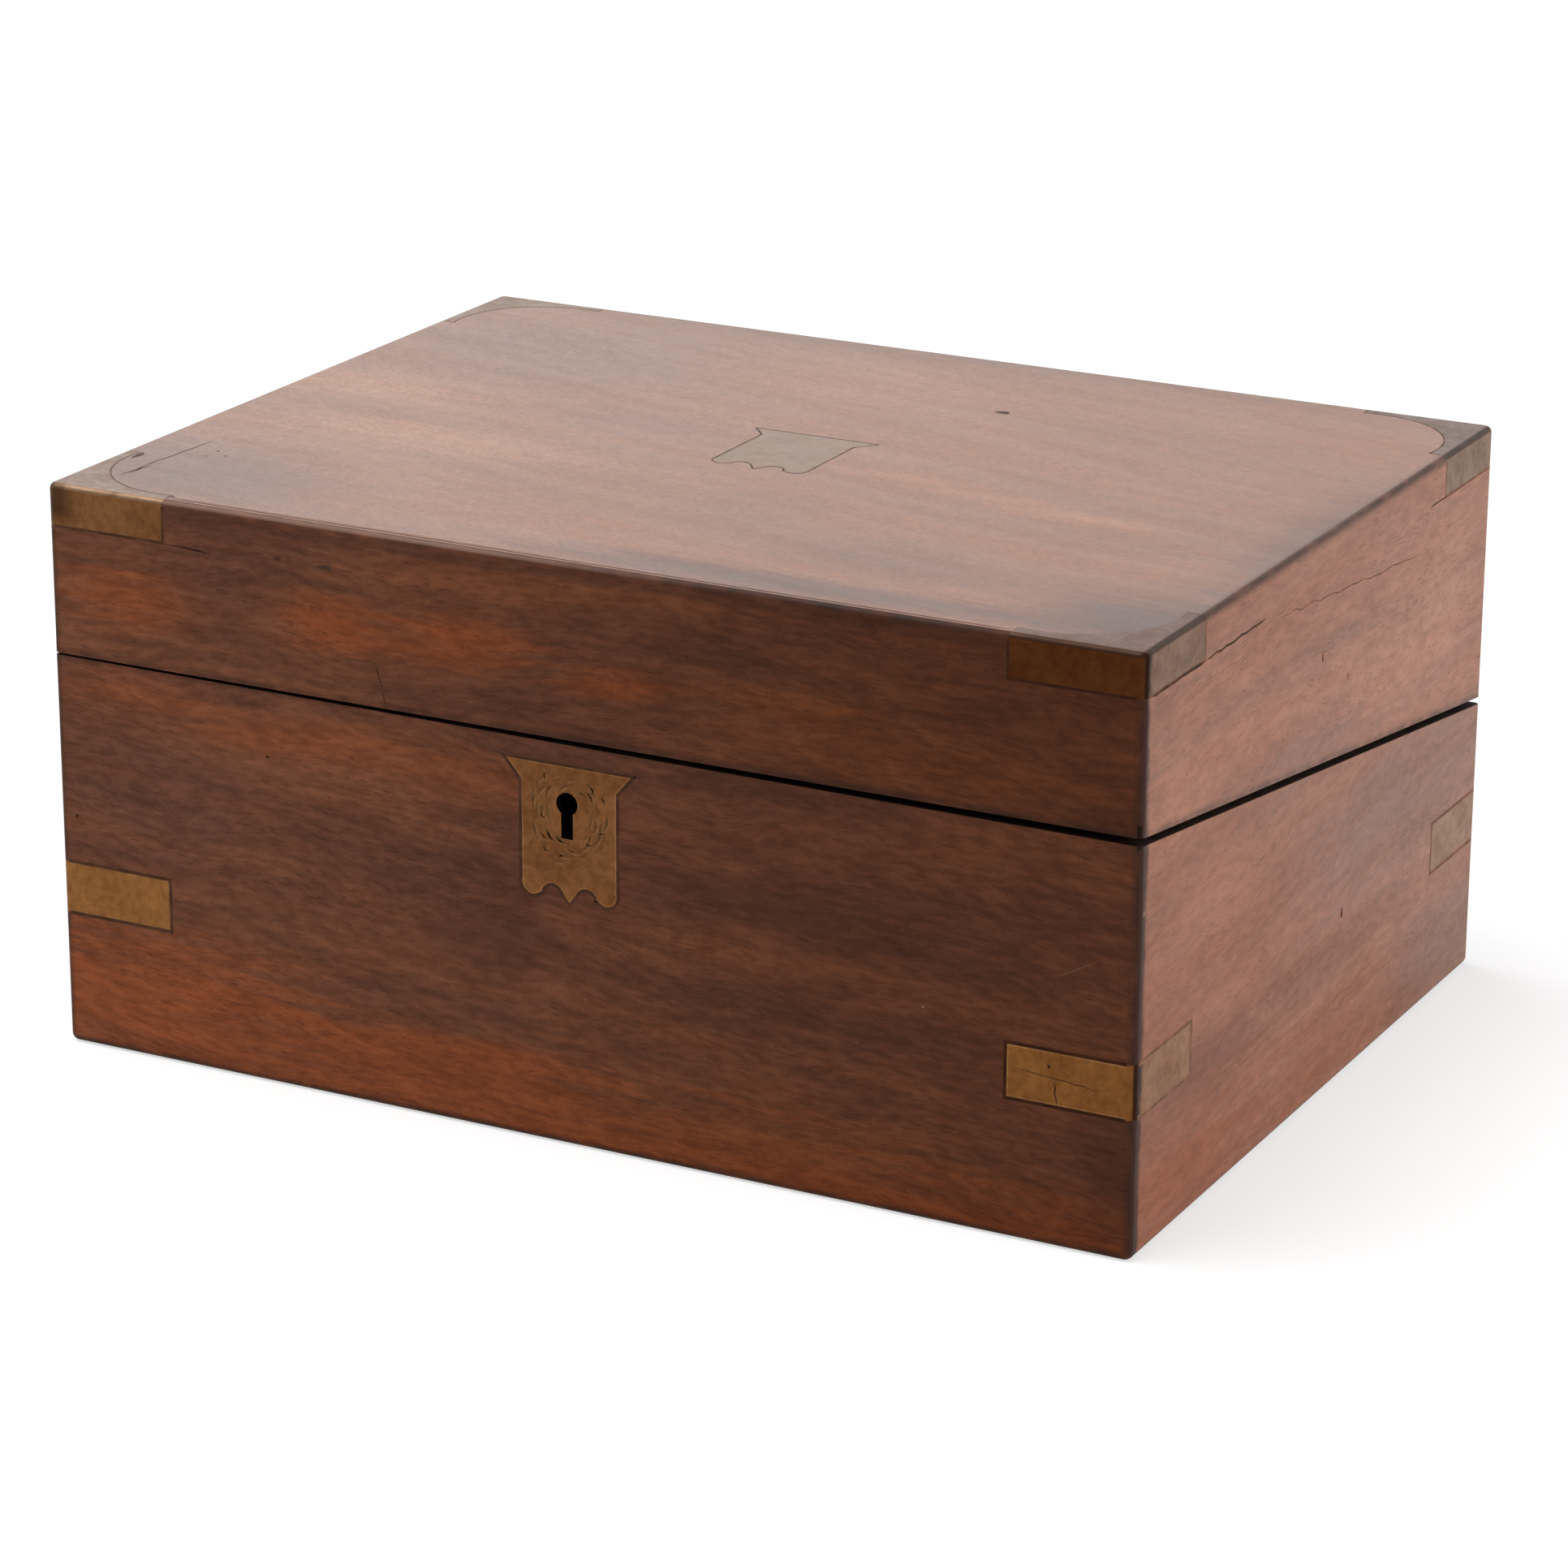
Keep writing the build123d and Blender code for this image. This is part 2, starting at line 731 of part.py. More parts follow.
def inkwell(side):
    """A square glass bottle with a round reservoir and neck."""
    x, y = inkwell_middle(side)
    half = inkwell_side / 2
    z1 = trough_floor_z + inkwell_body
    body = brick(x - half, x + half, y - half, y + half, trough_floor_z, z1)
    body = fillet(body.edges().filter_by(Axis.Z), inkwell_corner)
    neck = Pos(x, y, z1 + inkwell_neck_height / 2) * Cylinder(inkwell_neck_r, inkwell_neck_height)
    bore_z0 = trough_floor_z + inkwell_bore_floor
    bore_z1 = z1 - inkwell_shoulder
    bore = Pos(x, y, (bore_z0 + bore_z1) / 2) * Cylinder(inkwell_bore_r, bore_z1 - bore_z0)
    mouth_z1 = z1 + inkwell_neck_height + over
    mouth = Pos(x, y, (bore_z0 + mouth_z1) / 2) * Cylinder(inkwell_mouth_r, mouth_z1 - bore_z0)
    return body + neck - bore - mouth


def ink_cap(side):
    """A fluted brass cap that turns on the neck."""
    x, y = inkwell_middle(side)
    z0 = trough_floor_z + inkwell_body + cap_play
    cap = Pos(x, y, z0 + cap_height / 2) * Cylinder(cap_r, cap_height)
    cap = fillet(cap.edges().sort_by(Axis.Z)[-1], cap_crown)
    hollow_z1 = trough_floor_z + inkwell_body + inkwell_neck_height + cap_play
    hollow = Pos(x, y, (z0 - over + hollow_z1) / 2)
    cap -= hollow * Cylinder(inkwell_neck_r + cap_play, hollow_z1 - z0 + over)
    flute_z1 = z0 + cap_height - cap_knurl_margin
    flute = Pos(x + cap_r, y, (z0 + flute_z1) / 2) * Cylinder(cap_flute_r, flute_z1 - z0)
    for i in range(cap_flutes):
        turn = Pos(x, y, 0) * Rot(0, 0, i * 360 / cap_flutes) * Pos(-x, -y, 0)
        cap -= turn * flute
    return cap


def catch_frame():
    """Frame on the partition's lip, at the turn button's pivot."""
    spot = rim_spot(base_flap_face, catch_x, catch_y).origin
    return Plane(origin=spot, x_dir=(1, 0, 0), z_dir=up)


def flap_catch():
    """A flat button with round ends; its long arm lies along the lip at rest."""
    half = catch_width / 2
    arm = Pos(catch_length / 2 - half, 0) * Rectangle(catch_length - catch_width, catch_width)
    outline = arm + Circle(half) + Pos(catch_length - catch_width, 0) * Circle(half)
    button = Pos(0, 0, catch_play) * extrude(outline, catch_t)
    button -= Cylinder(catch_shank_r + catch_bore_play, 2 * (catch_play + catch_t) + over)
    return catch_frame().location * button


def catch_screw():
    """Screw with a flat round head that the turn button pivots on."""
    seat = catch_play + catch_t + catch_bore_play
    head = Pos(0, 0, seat + catch_head_t / 2) * Cylinder(catch_head_r, catch_head_t)
    head = fillet(head.edges().sort_by(Axis.Z)[-1], catch_head_t / 2)
    head -= Pos(0, 0, seat + catch_head_t) * Box(2 * catch_head_r, screw_slot, catch_head_t)
    length = catch_shank_length + seat
    shank = Pos(0, 0, seat - length / 2) * Cylinder(catch_shank_r, length)
    return catch_frame().location * (head + shank)


# ---------------------------------------------------------------- carcase
def mitre_wedges():
    """Four plan wedges that part a frame at its mitres."""
    inner = wall + over
    far_x = half_w + over
    far_y = half_d + over
    near_x = half_w - inner
    near_y = half_d - inner
    outlines = {
        "front": [(-far_x, -far_y), (far_x, -far_y), (near_x, -near_y), (-near_x, -near_y)],
        "rear": [(-far_x, far_y), (far_x, far_y), (near_x, near_y), (-near_x, near_y)],
        "left": [(-far_x, -far_y), (-far_x, far_y), (-near_x, near_y), (-near_x, -near_y)],
        "right": [(far_x, -far_y), (far_x, far_y), (near_x, near_y), (near_x, -near_y)],
    }
    faces = {name: make_face(Polyline(*points, close=True)) for name, points in outlines.items()}
    return {name: extrude(face, height) for name, face in faces.items()}


def carcase():
    """Boards of base and lid, with the brass that is let into their outside."""
    block = outer_block()
    base_block = block & below(base_rim)
    lid_block = block & above(lid_rim)
    straps = corner_set(strap_region())
    strap_pin_sets = corner_set(strap_pins())
    plates = corner_set(plate_region())
    plate_pin_sets = corner_set(plate_pins())
    base_ring = base_block - room_core(-over, height)
    base_ring = cut_by(base_ring, list(straps.values()) + list(strap_pin_sets.values()))
    lid_ring = (lid_block & brick(-far, far, -far, far, 0, lid_room_top)) - room_core(0, height)
    lid_top = lid_block & brick(-far, far, -far, far, lid_room_top, height + over)
    for name, wedge in mitre_wedges().items():
        parts["base_" + name] = base_ring & wedge
        parts["lid_" + name] = lid_ring & wedge
    for name, region in straps.items():
        parts["base_strap_" + name] = (base_block & region) - strap_pin_sets[name]
    for name, region in plates.items():
        parts["lid_corner_" + name] = (lid_top & region) - plate_pin_sets[name]
    lid_top = cut_by(lid_top, list(plates.values()) + list(plate_pin_sets.values()))
    parts["base_strap_pins"] = together(strap_pin_sets.values())
    parts["lid_corner_pins"] = together(plate_pin_sets.values())
    parts["base_bottom"] = brick(-room_w, room_w, -room_d, room_d, 0, bottom_board)
    cartouche = Pos(escutcheon_x, cartouche_y, height - banner_t) * extrude(banner_outline(), banner_t)
    parts["lid_cartouche"] = cartouche
    parts["lid_top"] = lid_top - cartouche


def fit_lock():
    """Lock, escutcheon and link plate, and their beds in the front boards."""
    face = Plane(origin=(escutcheon_x, -half_d, escutcheon_top), x_dir=(1, 0, 0), z_dir=(0, -1, 0))
    plate = face.location * extrude(banner_outline(), -banner_t)
    hole = keyhole(-half_d - over, case_inner + over)
    parts["escutcheon"] = plate - hole
    screws = [spot * wood_screw(lock_screw_length) for spot in back_screw_spots()]
    screws += [spot * wood_screw(plate_screw_length) for spot in edge_screw_spots(base_rim)]
    beds = [spot * wood_screw(lock_screw_length, False) for spot in back_screw_spots()]
    beds += [spot * wood_screw(plate_screw_length, False) for spot in edge_screw_spots(base_rim)]
    board = parts["base_front"] - plate - hole
    board = board - (back_plate_region() + case_region() + edge_plate_region())
    parts["base_front"] = cut_by(board, beds)
    parts["lock_plate"] = cut_by(lock_plate(), beds)
    parts["lock_case"] = lock_case()
    parts["lock_bolt"] = lock_bolt()
    parts["lock_lever"] = lock_lever()
    parts["lock_spring"] = lock_spring()
    parts["lock_screws"] = together(screws)
    link_spots = edge_screw_spots(lid_face)
    link_beds = [spot * wood_screw(plate_screw_length, False) for spot in link_spots]
    strip = (rim_strip() & above(lid_rim)) - above(lid_rim, edge_plate_t)
    parts["lid_front"] = cut_by(parts["lid_front"] - strip, link_beds)
    parts["link_plate"] = cut_by(link_plate(), link_beds)
    parts["link_plate_screws"] = together([spot * wood_screw(plate_screw_length) for spot in link_spots])


def fit_main_hinges():
    """The two butt hinges, their beds and their screws."""
    slabs = {
        "base": below(base_rim) - below(base_rim, hinge_leaf_t),
        "lid": above(lid_rim) - above(lid_rim, hinge_leaf_t),
    }
    faces = {"base": base_rim, "lid": lid_face}
    for mine, body in enumerate(("base", "lid")):
        board = parts[body + "_rear"]
        leaves = []
        screws = []
        for x in (-hinge_x, hinge_x):
            spots = hinge_screw_spots(faces[body], x)
            beds = [spot * wood_screw(screw_length, False) for spot in spots]
            screws += [spot * wood_screw(screw_length) for spot in spots]
            leaves.append(cut_by(main_leaf(x, slabs[body], mine), beds))
            board = board - leaf_region(x, slabs[body]) - hinge_scoop(x, hinge_length)
            board = cut_by(board, beds)
        parts[body + "_rear"] = board
        parts["hinge_leaves_" + body] = together(leaves)
        parts["hinge_screws_" + body] = together(screws)
    half = hinge_length / 2
    pins = [rod(hinge_pin_r, x - half, x + half, hinge_y, hinge_z) for x in (-hinge_x, hinge_x)]
    parts["hinge_pins"] = together(pins)


def fit_trough():
    """Floor, partition, walls and ledges of the pen and ink trough."""
    floor_z0 = trough_floor_z - trough_floor_t
    parts["trough_floor"] = brick(-room_w, room_w, -room_d, partition_front, floor_z0, trough_floor_z)
    lip_line = below(base_flap_face)
    rest_line = below(base_flap_face, flap_t + ledge_play)
    lip = brick(-room_w, room_w, partition_front, lip_rear, bottom_board, height) & lip_line
    bench = brick(-room_w, room_w, lip_rear, partition_rear, bottom_board, height) & rest_line
    notch_z = rim_spot(base_flap_face, notch_place, partition_front).origin.Z
    notch = Pos(notch_place, (partition_front + lip_rear) / 2, notch_z) * Rot(90, 0, 0)
    scoop = notch * Cylinder(notch_r, partition_t + lip_t)
    scoop = scoop & brick(-room_w, room_w, partition_front - over, lip_rear, notch_z - notch_depth, height)
    parts["trough_partition"] = (lip + bench) - scoop - catch_screw()
    walls = []
    ledges = []
    for side in (-1, 1):
        wall_x = sorted([side * well_inner, side * tray_half])
        walls.append(brick(wall_x[0], wall_x[1], -room_d, partition_front, trough_floor_z, trough_top_z))
        ledge_x = sorted([side * tray_half, side * (tray_half - tray_ledge_width)])
        ledge_z = trough_top_z - tray_height
        ledge_z0 = ledge_z - tray_ledge_t
        ledges.append(brick(ledge_x[0], ledge_x[1], -room_d, partition_front, ledge_z0, ledge_z))
    parts["well_walls"] = together(walls)
    parts["tray_ledges"] = together(ledges)
    parts["pen_tray"] = pen_tray()
    for side, word in ((-1, "left"), (1, "right")):
        parts["inkwell_" + word] = inkwell(side)
        parts["ink_cap_" + word] = ink_cap(side)
    parts["flap_catch"] = flap_catch()
    parts["flap_catch_screw"] = catch_screw()


def fit_flaps():
    """Both flaps of the writing surface, with rails, ledges and hinges."""
    base_room = brick(-room_w, room_w, partition_rear, room_d, bottom_board, height)
    lid_room = brick(-room_w, room_w, -room_d, room_d, 0, lid_room_top)
    base_flap = Flap(lid_rim, base_flap_drop, 1, lip_rear, base_flap_hinge_x)
    lid_flap = Flap(lid_face, lid_flap_sink, -1, -room_d, lid_flap_hinge_x)
    base_flap.make("base", base_room)
    lid_flap.make("lid", lid_room)
    notch = Pos(notch_place, -room_d, split_front) * Cylinder(notch_r, 2 * notch_depth)
    reach = brick(-half_w, half_w, -room_d - lid_notch_bite, -room_d, 0, height)
    parts["lid_front"] = parts["lid_front"] - (notch & reach)


def write_parts():
    os.makedirs("parts", exist_ok=True)
    for name, piece in parts.items():
        export_step(piece, os.path.join("parts", name + ".step"))


carcase()
fit_lock()
fit_main_hinges()
fit_trough()
fit_flaps()
write_parts()
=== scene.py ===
"""Looks of the writing slope: polished wood, tarnished brass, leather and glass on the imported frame.

Lengths that describe a surface are in millimetres, and object coordinates are metres.
X runs to the right, -Y to the front and Z up, as in the frame.
"""
import json
import math
import random

import bmesh
import bpy
from mathutils import Matrix, Vector


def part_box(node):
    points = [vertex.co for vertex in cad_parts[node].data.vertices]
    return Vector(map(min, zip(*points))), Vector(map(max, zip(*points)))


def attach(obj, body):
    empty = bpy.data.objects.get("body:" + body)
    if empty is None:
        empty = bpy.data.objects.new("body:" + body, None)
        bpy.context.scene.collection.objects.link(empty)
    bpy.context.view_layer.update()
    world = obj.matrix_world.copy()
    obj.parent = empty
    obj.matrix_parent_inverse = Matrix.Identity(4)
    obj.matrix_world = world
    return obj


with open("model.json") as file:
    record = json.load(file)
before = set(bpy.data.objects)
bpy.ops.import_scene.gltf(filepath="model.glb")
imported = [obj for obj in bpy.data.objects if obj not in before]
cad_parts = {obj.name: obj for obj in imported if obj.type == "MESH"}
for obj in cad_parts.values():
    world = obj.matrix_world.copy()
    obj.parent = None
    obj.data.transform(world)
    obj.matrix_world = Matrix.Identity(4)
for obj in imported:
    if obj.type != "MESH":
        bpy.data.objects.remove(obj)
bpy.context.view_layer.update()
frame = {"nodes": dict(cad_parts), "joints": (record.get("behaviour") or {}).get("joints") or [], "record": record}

mm = 0.001

# ---------------------------------------------------------------- sizes from the frame
top_low, top_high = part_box("lid_top")
half_width = top_high.x / mm
half_depth = top_high.y / mm
height = top_high.z / mm
seam_height = top_low.z / mm
rear_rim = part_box("lid_left")[0].z / mm
catch_axis = next(joint["axis"] for joint in frame["joints"] if joint["name"] == "flap_catch_turn")
rim_fall = catch_axis[1] / catch_axis[2]

front_face = Vector((0, -1, 0))
right_face = Vector((1, 0, 0))
left_face = Vector((-1, 0, 0))
rear_face = Vector((0, 1, 0))
top_face = Vector((0, 0, 1))

wall = 9.0                 # thickness of the boards round the box
arris_round = 2.2          # how far a rounded edge reaches in from a face
keyhole_drop = 12.8        # from the escutcheon's top to the middle of the keyhole
ring_tall = 1.22           # height of the engraved rings for a width of 1
line_lift = 0.020          # how far a drawn line stands off its face
facing_lift = 0.008        # the same for a veneer, so that lines show on it
touch = 0.02               # how far points of one flat face may differ
inkwell_floor = 5.0        # thickness of the glass under the ink
random_seed = 7

plate_low, plate_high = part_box("escutcheon")
keyhole_x = (plate_low.x + plate_high.x) / 2 / mm
keyhole_z = plate_high.z / mm - keyhole_drop

seen_rays = ("Is Camera Ray", "Is Glossy Ray", "Is Transmission Ray")
floor_glow = 0.36          # light of the floor's own, in reflections and in the picture
floor_glow_seen = 0.23     # what the picture adds to it
ambient = 0.30             # even light of the world on surfaces

# ---------------------------------------------------------------- colours, linear
front_heart = (0.138, 0.055, 0.033)
front_lilac = (0.190, 0.082, 0.055)
front_dark = (0.172, 0.067, 0.040)
front_brown = (0.226, 0.087, 0.048)
front_tan = (0.298, 0.111, 0.056)
front_red = (0.372, 0.104, 0.036)
front_rust = (0.330, 0.112, 0.046)
# Darkening towards the right of the front boards: partly the wood's tone, partly painted shade of light falling
# off.
front_fade_and_shade = (0.62, 0.55, 0.48)
lid_fade_and_shade = (0.54, 0.44, 0.33)
side_grey = (0.250, 0.114, 0.076)
side_brown = (0.296, 0.122, 0.074)
side_tan = (0.335, 0.140, 0.082)
side_pink = (0.385, 0.158, 0.092)
side_pale = (0.385, 0.176, 0.108)
side_warm = (0.276, 0.098, 0.053)
side_umber = (0.190, 0.070, 0.039)
side_red = (0.275, 0.088, 0.040)
side_fade = (1.0, 1.16, 1.32)
lid_side_fade = (1.12, 1.25, 1.38)
top_grey = (0.228, 0.136, 0.104)
top_dull = (0.290, 0.147, 0.096)
top_brown = (0.312, 0.155, 0.099)
top_tan = (0.338, 0.169, 0.107)
top_pink = (0.425, 0.220, 0.136)
top_fade = (0.86, 0.68, 0.50)
top_rust = (0.325, 0.148, 0.082)
top_slate = (0.170, 0.104, 0.082)
top_smoke = (0.105, 0.052, 0.038)
inner_brown = (0.170, 0.075, 0.038)
inner_tan = (0.250, 0.115, 0.057)
inner_light = (0.320, 0.155, 0.080)
white = (1.0, 1.0, 1.0)
shadow_tone = (0.44, 0.38, 0.34)
pore_dark = (0.040, 0.015, 0.009)
# dirt, and painted shade along the rounded arrises and beside the parting line
grime_and_shade = (0.028, 0.014, 0.009)
# painted shade on the front-right upright arris
arris_shade = (0.024, 0.006, 0.002)
# painted highlight on the top edges at the left
painted_edge_highlight = (0.310, 0.185, 0.140)
# darkening of the front's lines towards the right, partly painted shade along with the front
line_fade_and_shade = (0.50, 0.42, 0.36)
# near-black painted shade for the gap at the parting line, the keyhole's bore and brass seen only through gaps
crevice_shade = (0.010, 0.005, 0.003)
rim_shade = (0.026, 0.013, 0.008)
# Outer brass tones by side (brass_front here, brass_strap to brass_top_right below) are lit and shaded copies of
# one brass: painted light and shade.
brass_front = (0.205, 0.092, 0.034)
brass_lock = (0.226, 0.098, 0.036)
brass_cut = (0.146, 0.066, 0.023)
brass_glint = (0.300, 0.146, 0.056)
brass_hinge = (0.235, 0.118, 0.042)
# near-black lock case, painted shade seen through the keyhole
lock_case_shade = (0.030, 0.018, 0.010)
brass_strap = (0.308, 0.136, 0.043)
brass_strap_right = (0.228, 0.094, 0.027)
brass_shade = (0.088, 0.030, 0.009)
brass_end_near = (0.387, 0.203, 0.110)
brass_end_far = (0.397, 0.237, 0.154)
brass_lid_end_near = (0.259, 0.148, 0.097)
brass_lid_end_far = (0.311, 0.200, 0.139)
brass_top_left = (0.360, 0.272, 0.226)
brass_top_right = (0.250, 0.186, 0.157)
plate_smoke = (0.840, 0.700, 0.660)
brass_cartouche = (0.350, 0.258, 0.205)
brass_rubbed = (0.166, 0.102, 0.061)
brass_tarnish = (0.66, 0.58, 0.52)
brass_inner = (0.420, 0.250, 0.090)
leather_red = (0.105, 0.018, 0.014)
leather_dark = (0.045, 0.009, 0.008)
gilt = (0.420, 0.250, 0.070)
glass_green = (0.80, 0.90, 0.86)
glass_clear = (0.92, 0.97, 0.95)
steel_blue = (0.10, 0.09, 0.10)
steel_grey = (0.260, 0.260, 0.265)
ink_black = (0.008, 0.009, 0.016)
ink_sheen = (0.02, 0.03, 0.06)
filler_front = (0.070, 0.030, 0.017)
filler_side = (0.135, 0.066, 0.043)
filler_top = (0.135, 0.092, 0.076)
filler_top_dark = (0.075, 0.050, 0.040)
crack_dark = (0.036, 0.016, 0.010)
crack_faint = (0.080, 0.040, 0.028)
# pale scratches and nicks, and the painted highlight along the top's front edge
scratch_and_glint_pale = (0.260, 0.150, 0.105)
paper_grey = (0.45, 0.45, 0.45, 1)
world_white = (1, 1, 1, 1)


# ---------------------------------------------------------------- node helpers
class Graph:
    """A node tree that is built by short calls."""

    def __init__(self, tree):
        self.tree = tree

    def feed(self, socket, value):
        """Links a socket to another one, or sets it to a constant."""
        if isinstance(value, bpy.types.NodeSocket):
            self.tree.links.new(value, socket)
        else:
            socket.default_value = value

    def add(self, kind, inputs, **settings):
        node = self.tree.nodes.new(kind)
        for key, value in settings.items():
            setattr(node, key, value)
        for key, value in inputs.items():
            self.feed(node.inputs[key], value)
        return node

    def math(self, operation, a, b=0.0, c=0.0):
        return self.add("ShaderNodeMath", {0: a, 1: b, 2: c}, operation=operation).outputs[0]

    def times(self, a, b):
        return self.math("MULTIPLY", a, b)

    def plus(self, a, b):
        return self.math("ADD", a, b)

    def minus(self, a, b):
        return self.math("SUBTRACT", a, b)

    def absolute(self, a):
        return self.math("ABSOLUTE", a)

    def only_for(self, *rays):
        """1 for rays of the given kinds, and 0 for the light that falls on surfaces."""
        path = self.add("ShaderNodeLightPath", {})
        total = path.outputs[rays[0]]
        for ray in rays[1:]:
            total = self.math("MAXIMUM", total, path.outputs[ray])
        return total


class Look(Graph):
    """A material on a Principled shader, with places in millimetres."""

    def __init__(self, name):
        self.material = bpy.data.materials.new(name)
        self.material.use_nodes = True
        super().__init__(self.material.node_tree)
        self.shader = self.tree.nodes["Principled BSDF"]
        coordinates = self.add("ShaderNodeTexCoord", {})
        self.place = self.scaled(coordinates.outputs["Object"], 1 / mm)
        self.x, self.y, self.z = self.add("ShaderNodeSeparateXYZ", {0: self.place}).outputs
        self.facing = self.add("ShaderNodeSeparateXYZ", {0: coordinates.outputs["Normal"]}).outputs

    def scaled(self, vector, factor):
        return self.add("ShaderNodeVectorMath", {0: vector, "Scale": factor}, operation="SCALE").outputs[0]

    def vector(self, x, y, z):
        return self.add("ShaderNodeCombineXYZ", {0: x, 1: y, 2: z}).outputs[0]

    def noise(self, vector, detail=2.0, rough=0.5):
        inputs = {"Vector": vector, "Scale": 1.0, "Detail": detail, "Roughness": rough}
        return self.add("ShaderNodeTexNoise", inputs).outputs["Fac"]

    def cloud(self, size, detail=2.0, rough=0.5):
        """Noise in even lumps of about size millimetres."""
        return self.noise(self.scaled(self.place, 1 / size), detail, rough)

    def spots(self, vector):
        return self.add("ShaderNodeTexVoronoi", {"Vector": vector, "Scale": 1.0}).outputs["Distance"]

    def rise(self, value, low, high, start=0.0, end=1.0):
        """Runs smoothly from start to end while value runs from low to high."""
        inputs = {"Value": value, "From Min": low, "From Max": high, "To Min": start, "To Max": end}
        return self.add("ShaderNodeMapRange", inputs, interpolation_type="SMOOTHSTEP").outputs["Result"]

    def mix(self, amount, a, b):
        return self.blended("MIX", amount, a, b)

    def multiply(self, amount, a, b):
        return self.blended("MULTIPLY", amount, a, b)

    def blended(self, kind, amount, a, b):
        node = self.add("ShaderNodeMix", {0: amount}, data_type="RGBA", blend_type=kind)
        for socket, value in ((node.inputs[6], a), (node.inputs[7], b)):
            self.feed(socket, value if isinstance(value, bpy.types.NodeSocket) else (*value, 1.0))
        return node.outputs[2]

    def bump(self, amount, depth):
        """Height in millimetres, from a factor and the depth it stands for."""
        inputs = {"Height": amount, "Distance": depth * mm, "Strength": 1.0}
        return self.add("ShaderNodeBump", inputs).outputs["Normal"]

    def set(self, **values):
        """Values of the shader's own sockets, with _ for a space."""
        for key, value in values.items():
            self.feed(self.shader.inputs[key.replace("_", " ")], value)


def arris_distance(look):
    """How far a point of the outside is from the nearest edge of the shut box."""
    side = look.minus(half_width, look.absolute(look.x))
    face = look.minus(half_depth, look.absolute(look.y))
    top = look.minus(height, look.z)
    pairs = [(side, face), (side, top), (face, top), (side, look.z), (face, look.z)]
    near = None
    for a, b in pairs:
        edge = look.math("MAXIMUM", a, b)
        near = edge if near is None else look.math("MINIMUM", near, edge)
    return near


def beside_front(look):
    """1 on the rounded upright edge at the front right and just beside it on the end, which is painted dark as
    shade, and 0 elsewhere.
    """
    inset = look.minus(half_width, look.x)
    behind = look.plus(half_depth, look.y)
    reach = look.rise(look.z, 108, 116, 5.2, 4.1)
    ragged = look.plus(behind, look.rise(look.cloud(6, 3.0), 0.3, 0.7, -0.5, 0.5))
    near = look.rise(look.minus(ragged, reach), 0.0, -2.4, 0.0, 0.96)
    return look.times(near, look.rise(inset, 1.0, 0.4))


def keyhole_depth(look):
    """1 inside the bore behind the escutcheon, which is painted black as shade, and 0 elsewhere."""
    aside = look.absolute(look.minus(look.x, keyhole_x))
    below = look.absolute(look.minus(look.z, keyhole_z))
    near = look.times(look.rise(aside, 4.5, 4.0), look.rise(below, 12.0, 11.0))
    behind = look.times(look.rise(look.y, 0.6 - half_depth, 1.0 - half_depth), near)
    return look.times(behind, look.rise(look.y, wall - 0.1 - half_depth, wall - 0.4 - half_depth))


def rim_distance(look):
    """Height of a point above the lid's rim plane, below it negative."""
    behind = look.minus(half_depth, look.y)
    rim = look.math("MULTIPLY_ADD", behind, rim_fall, rear_rim)
    return look.minus(look.z, rim)


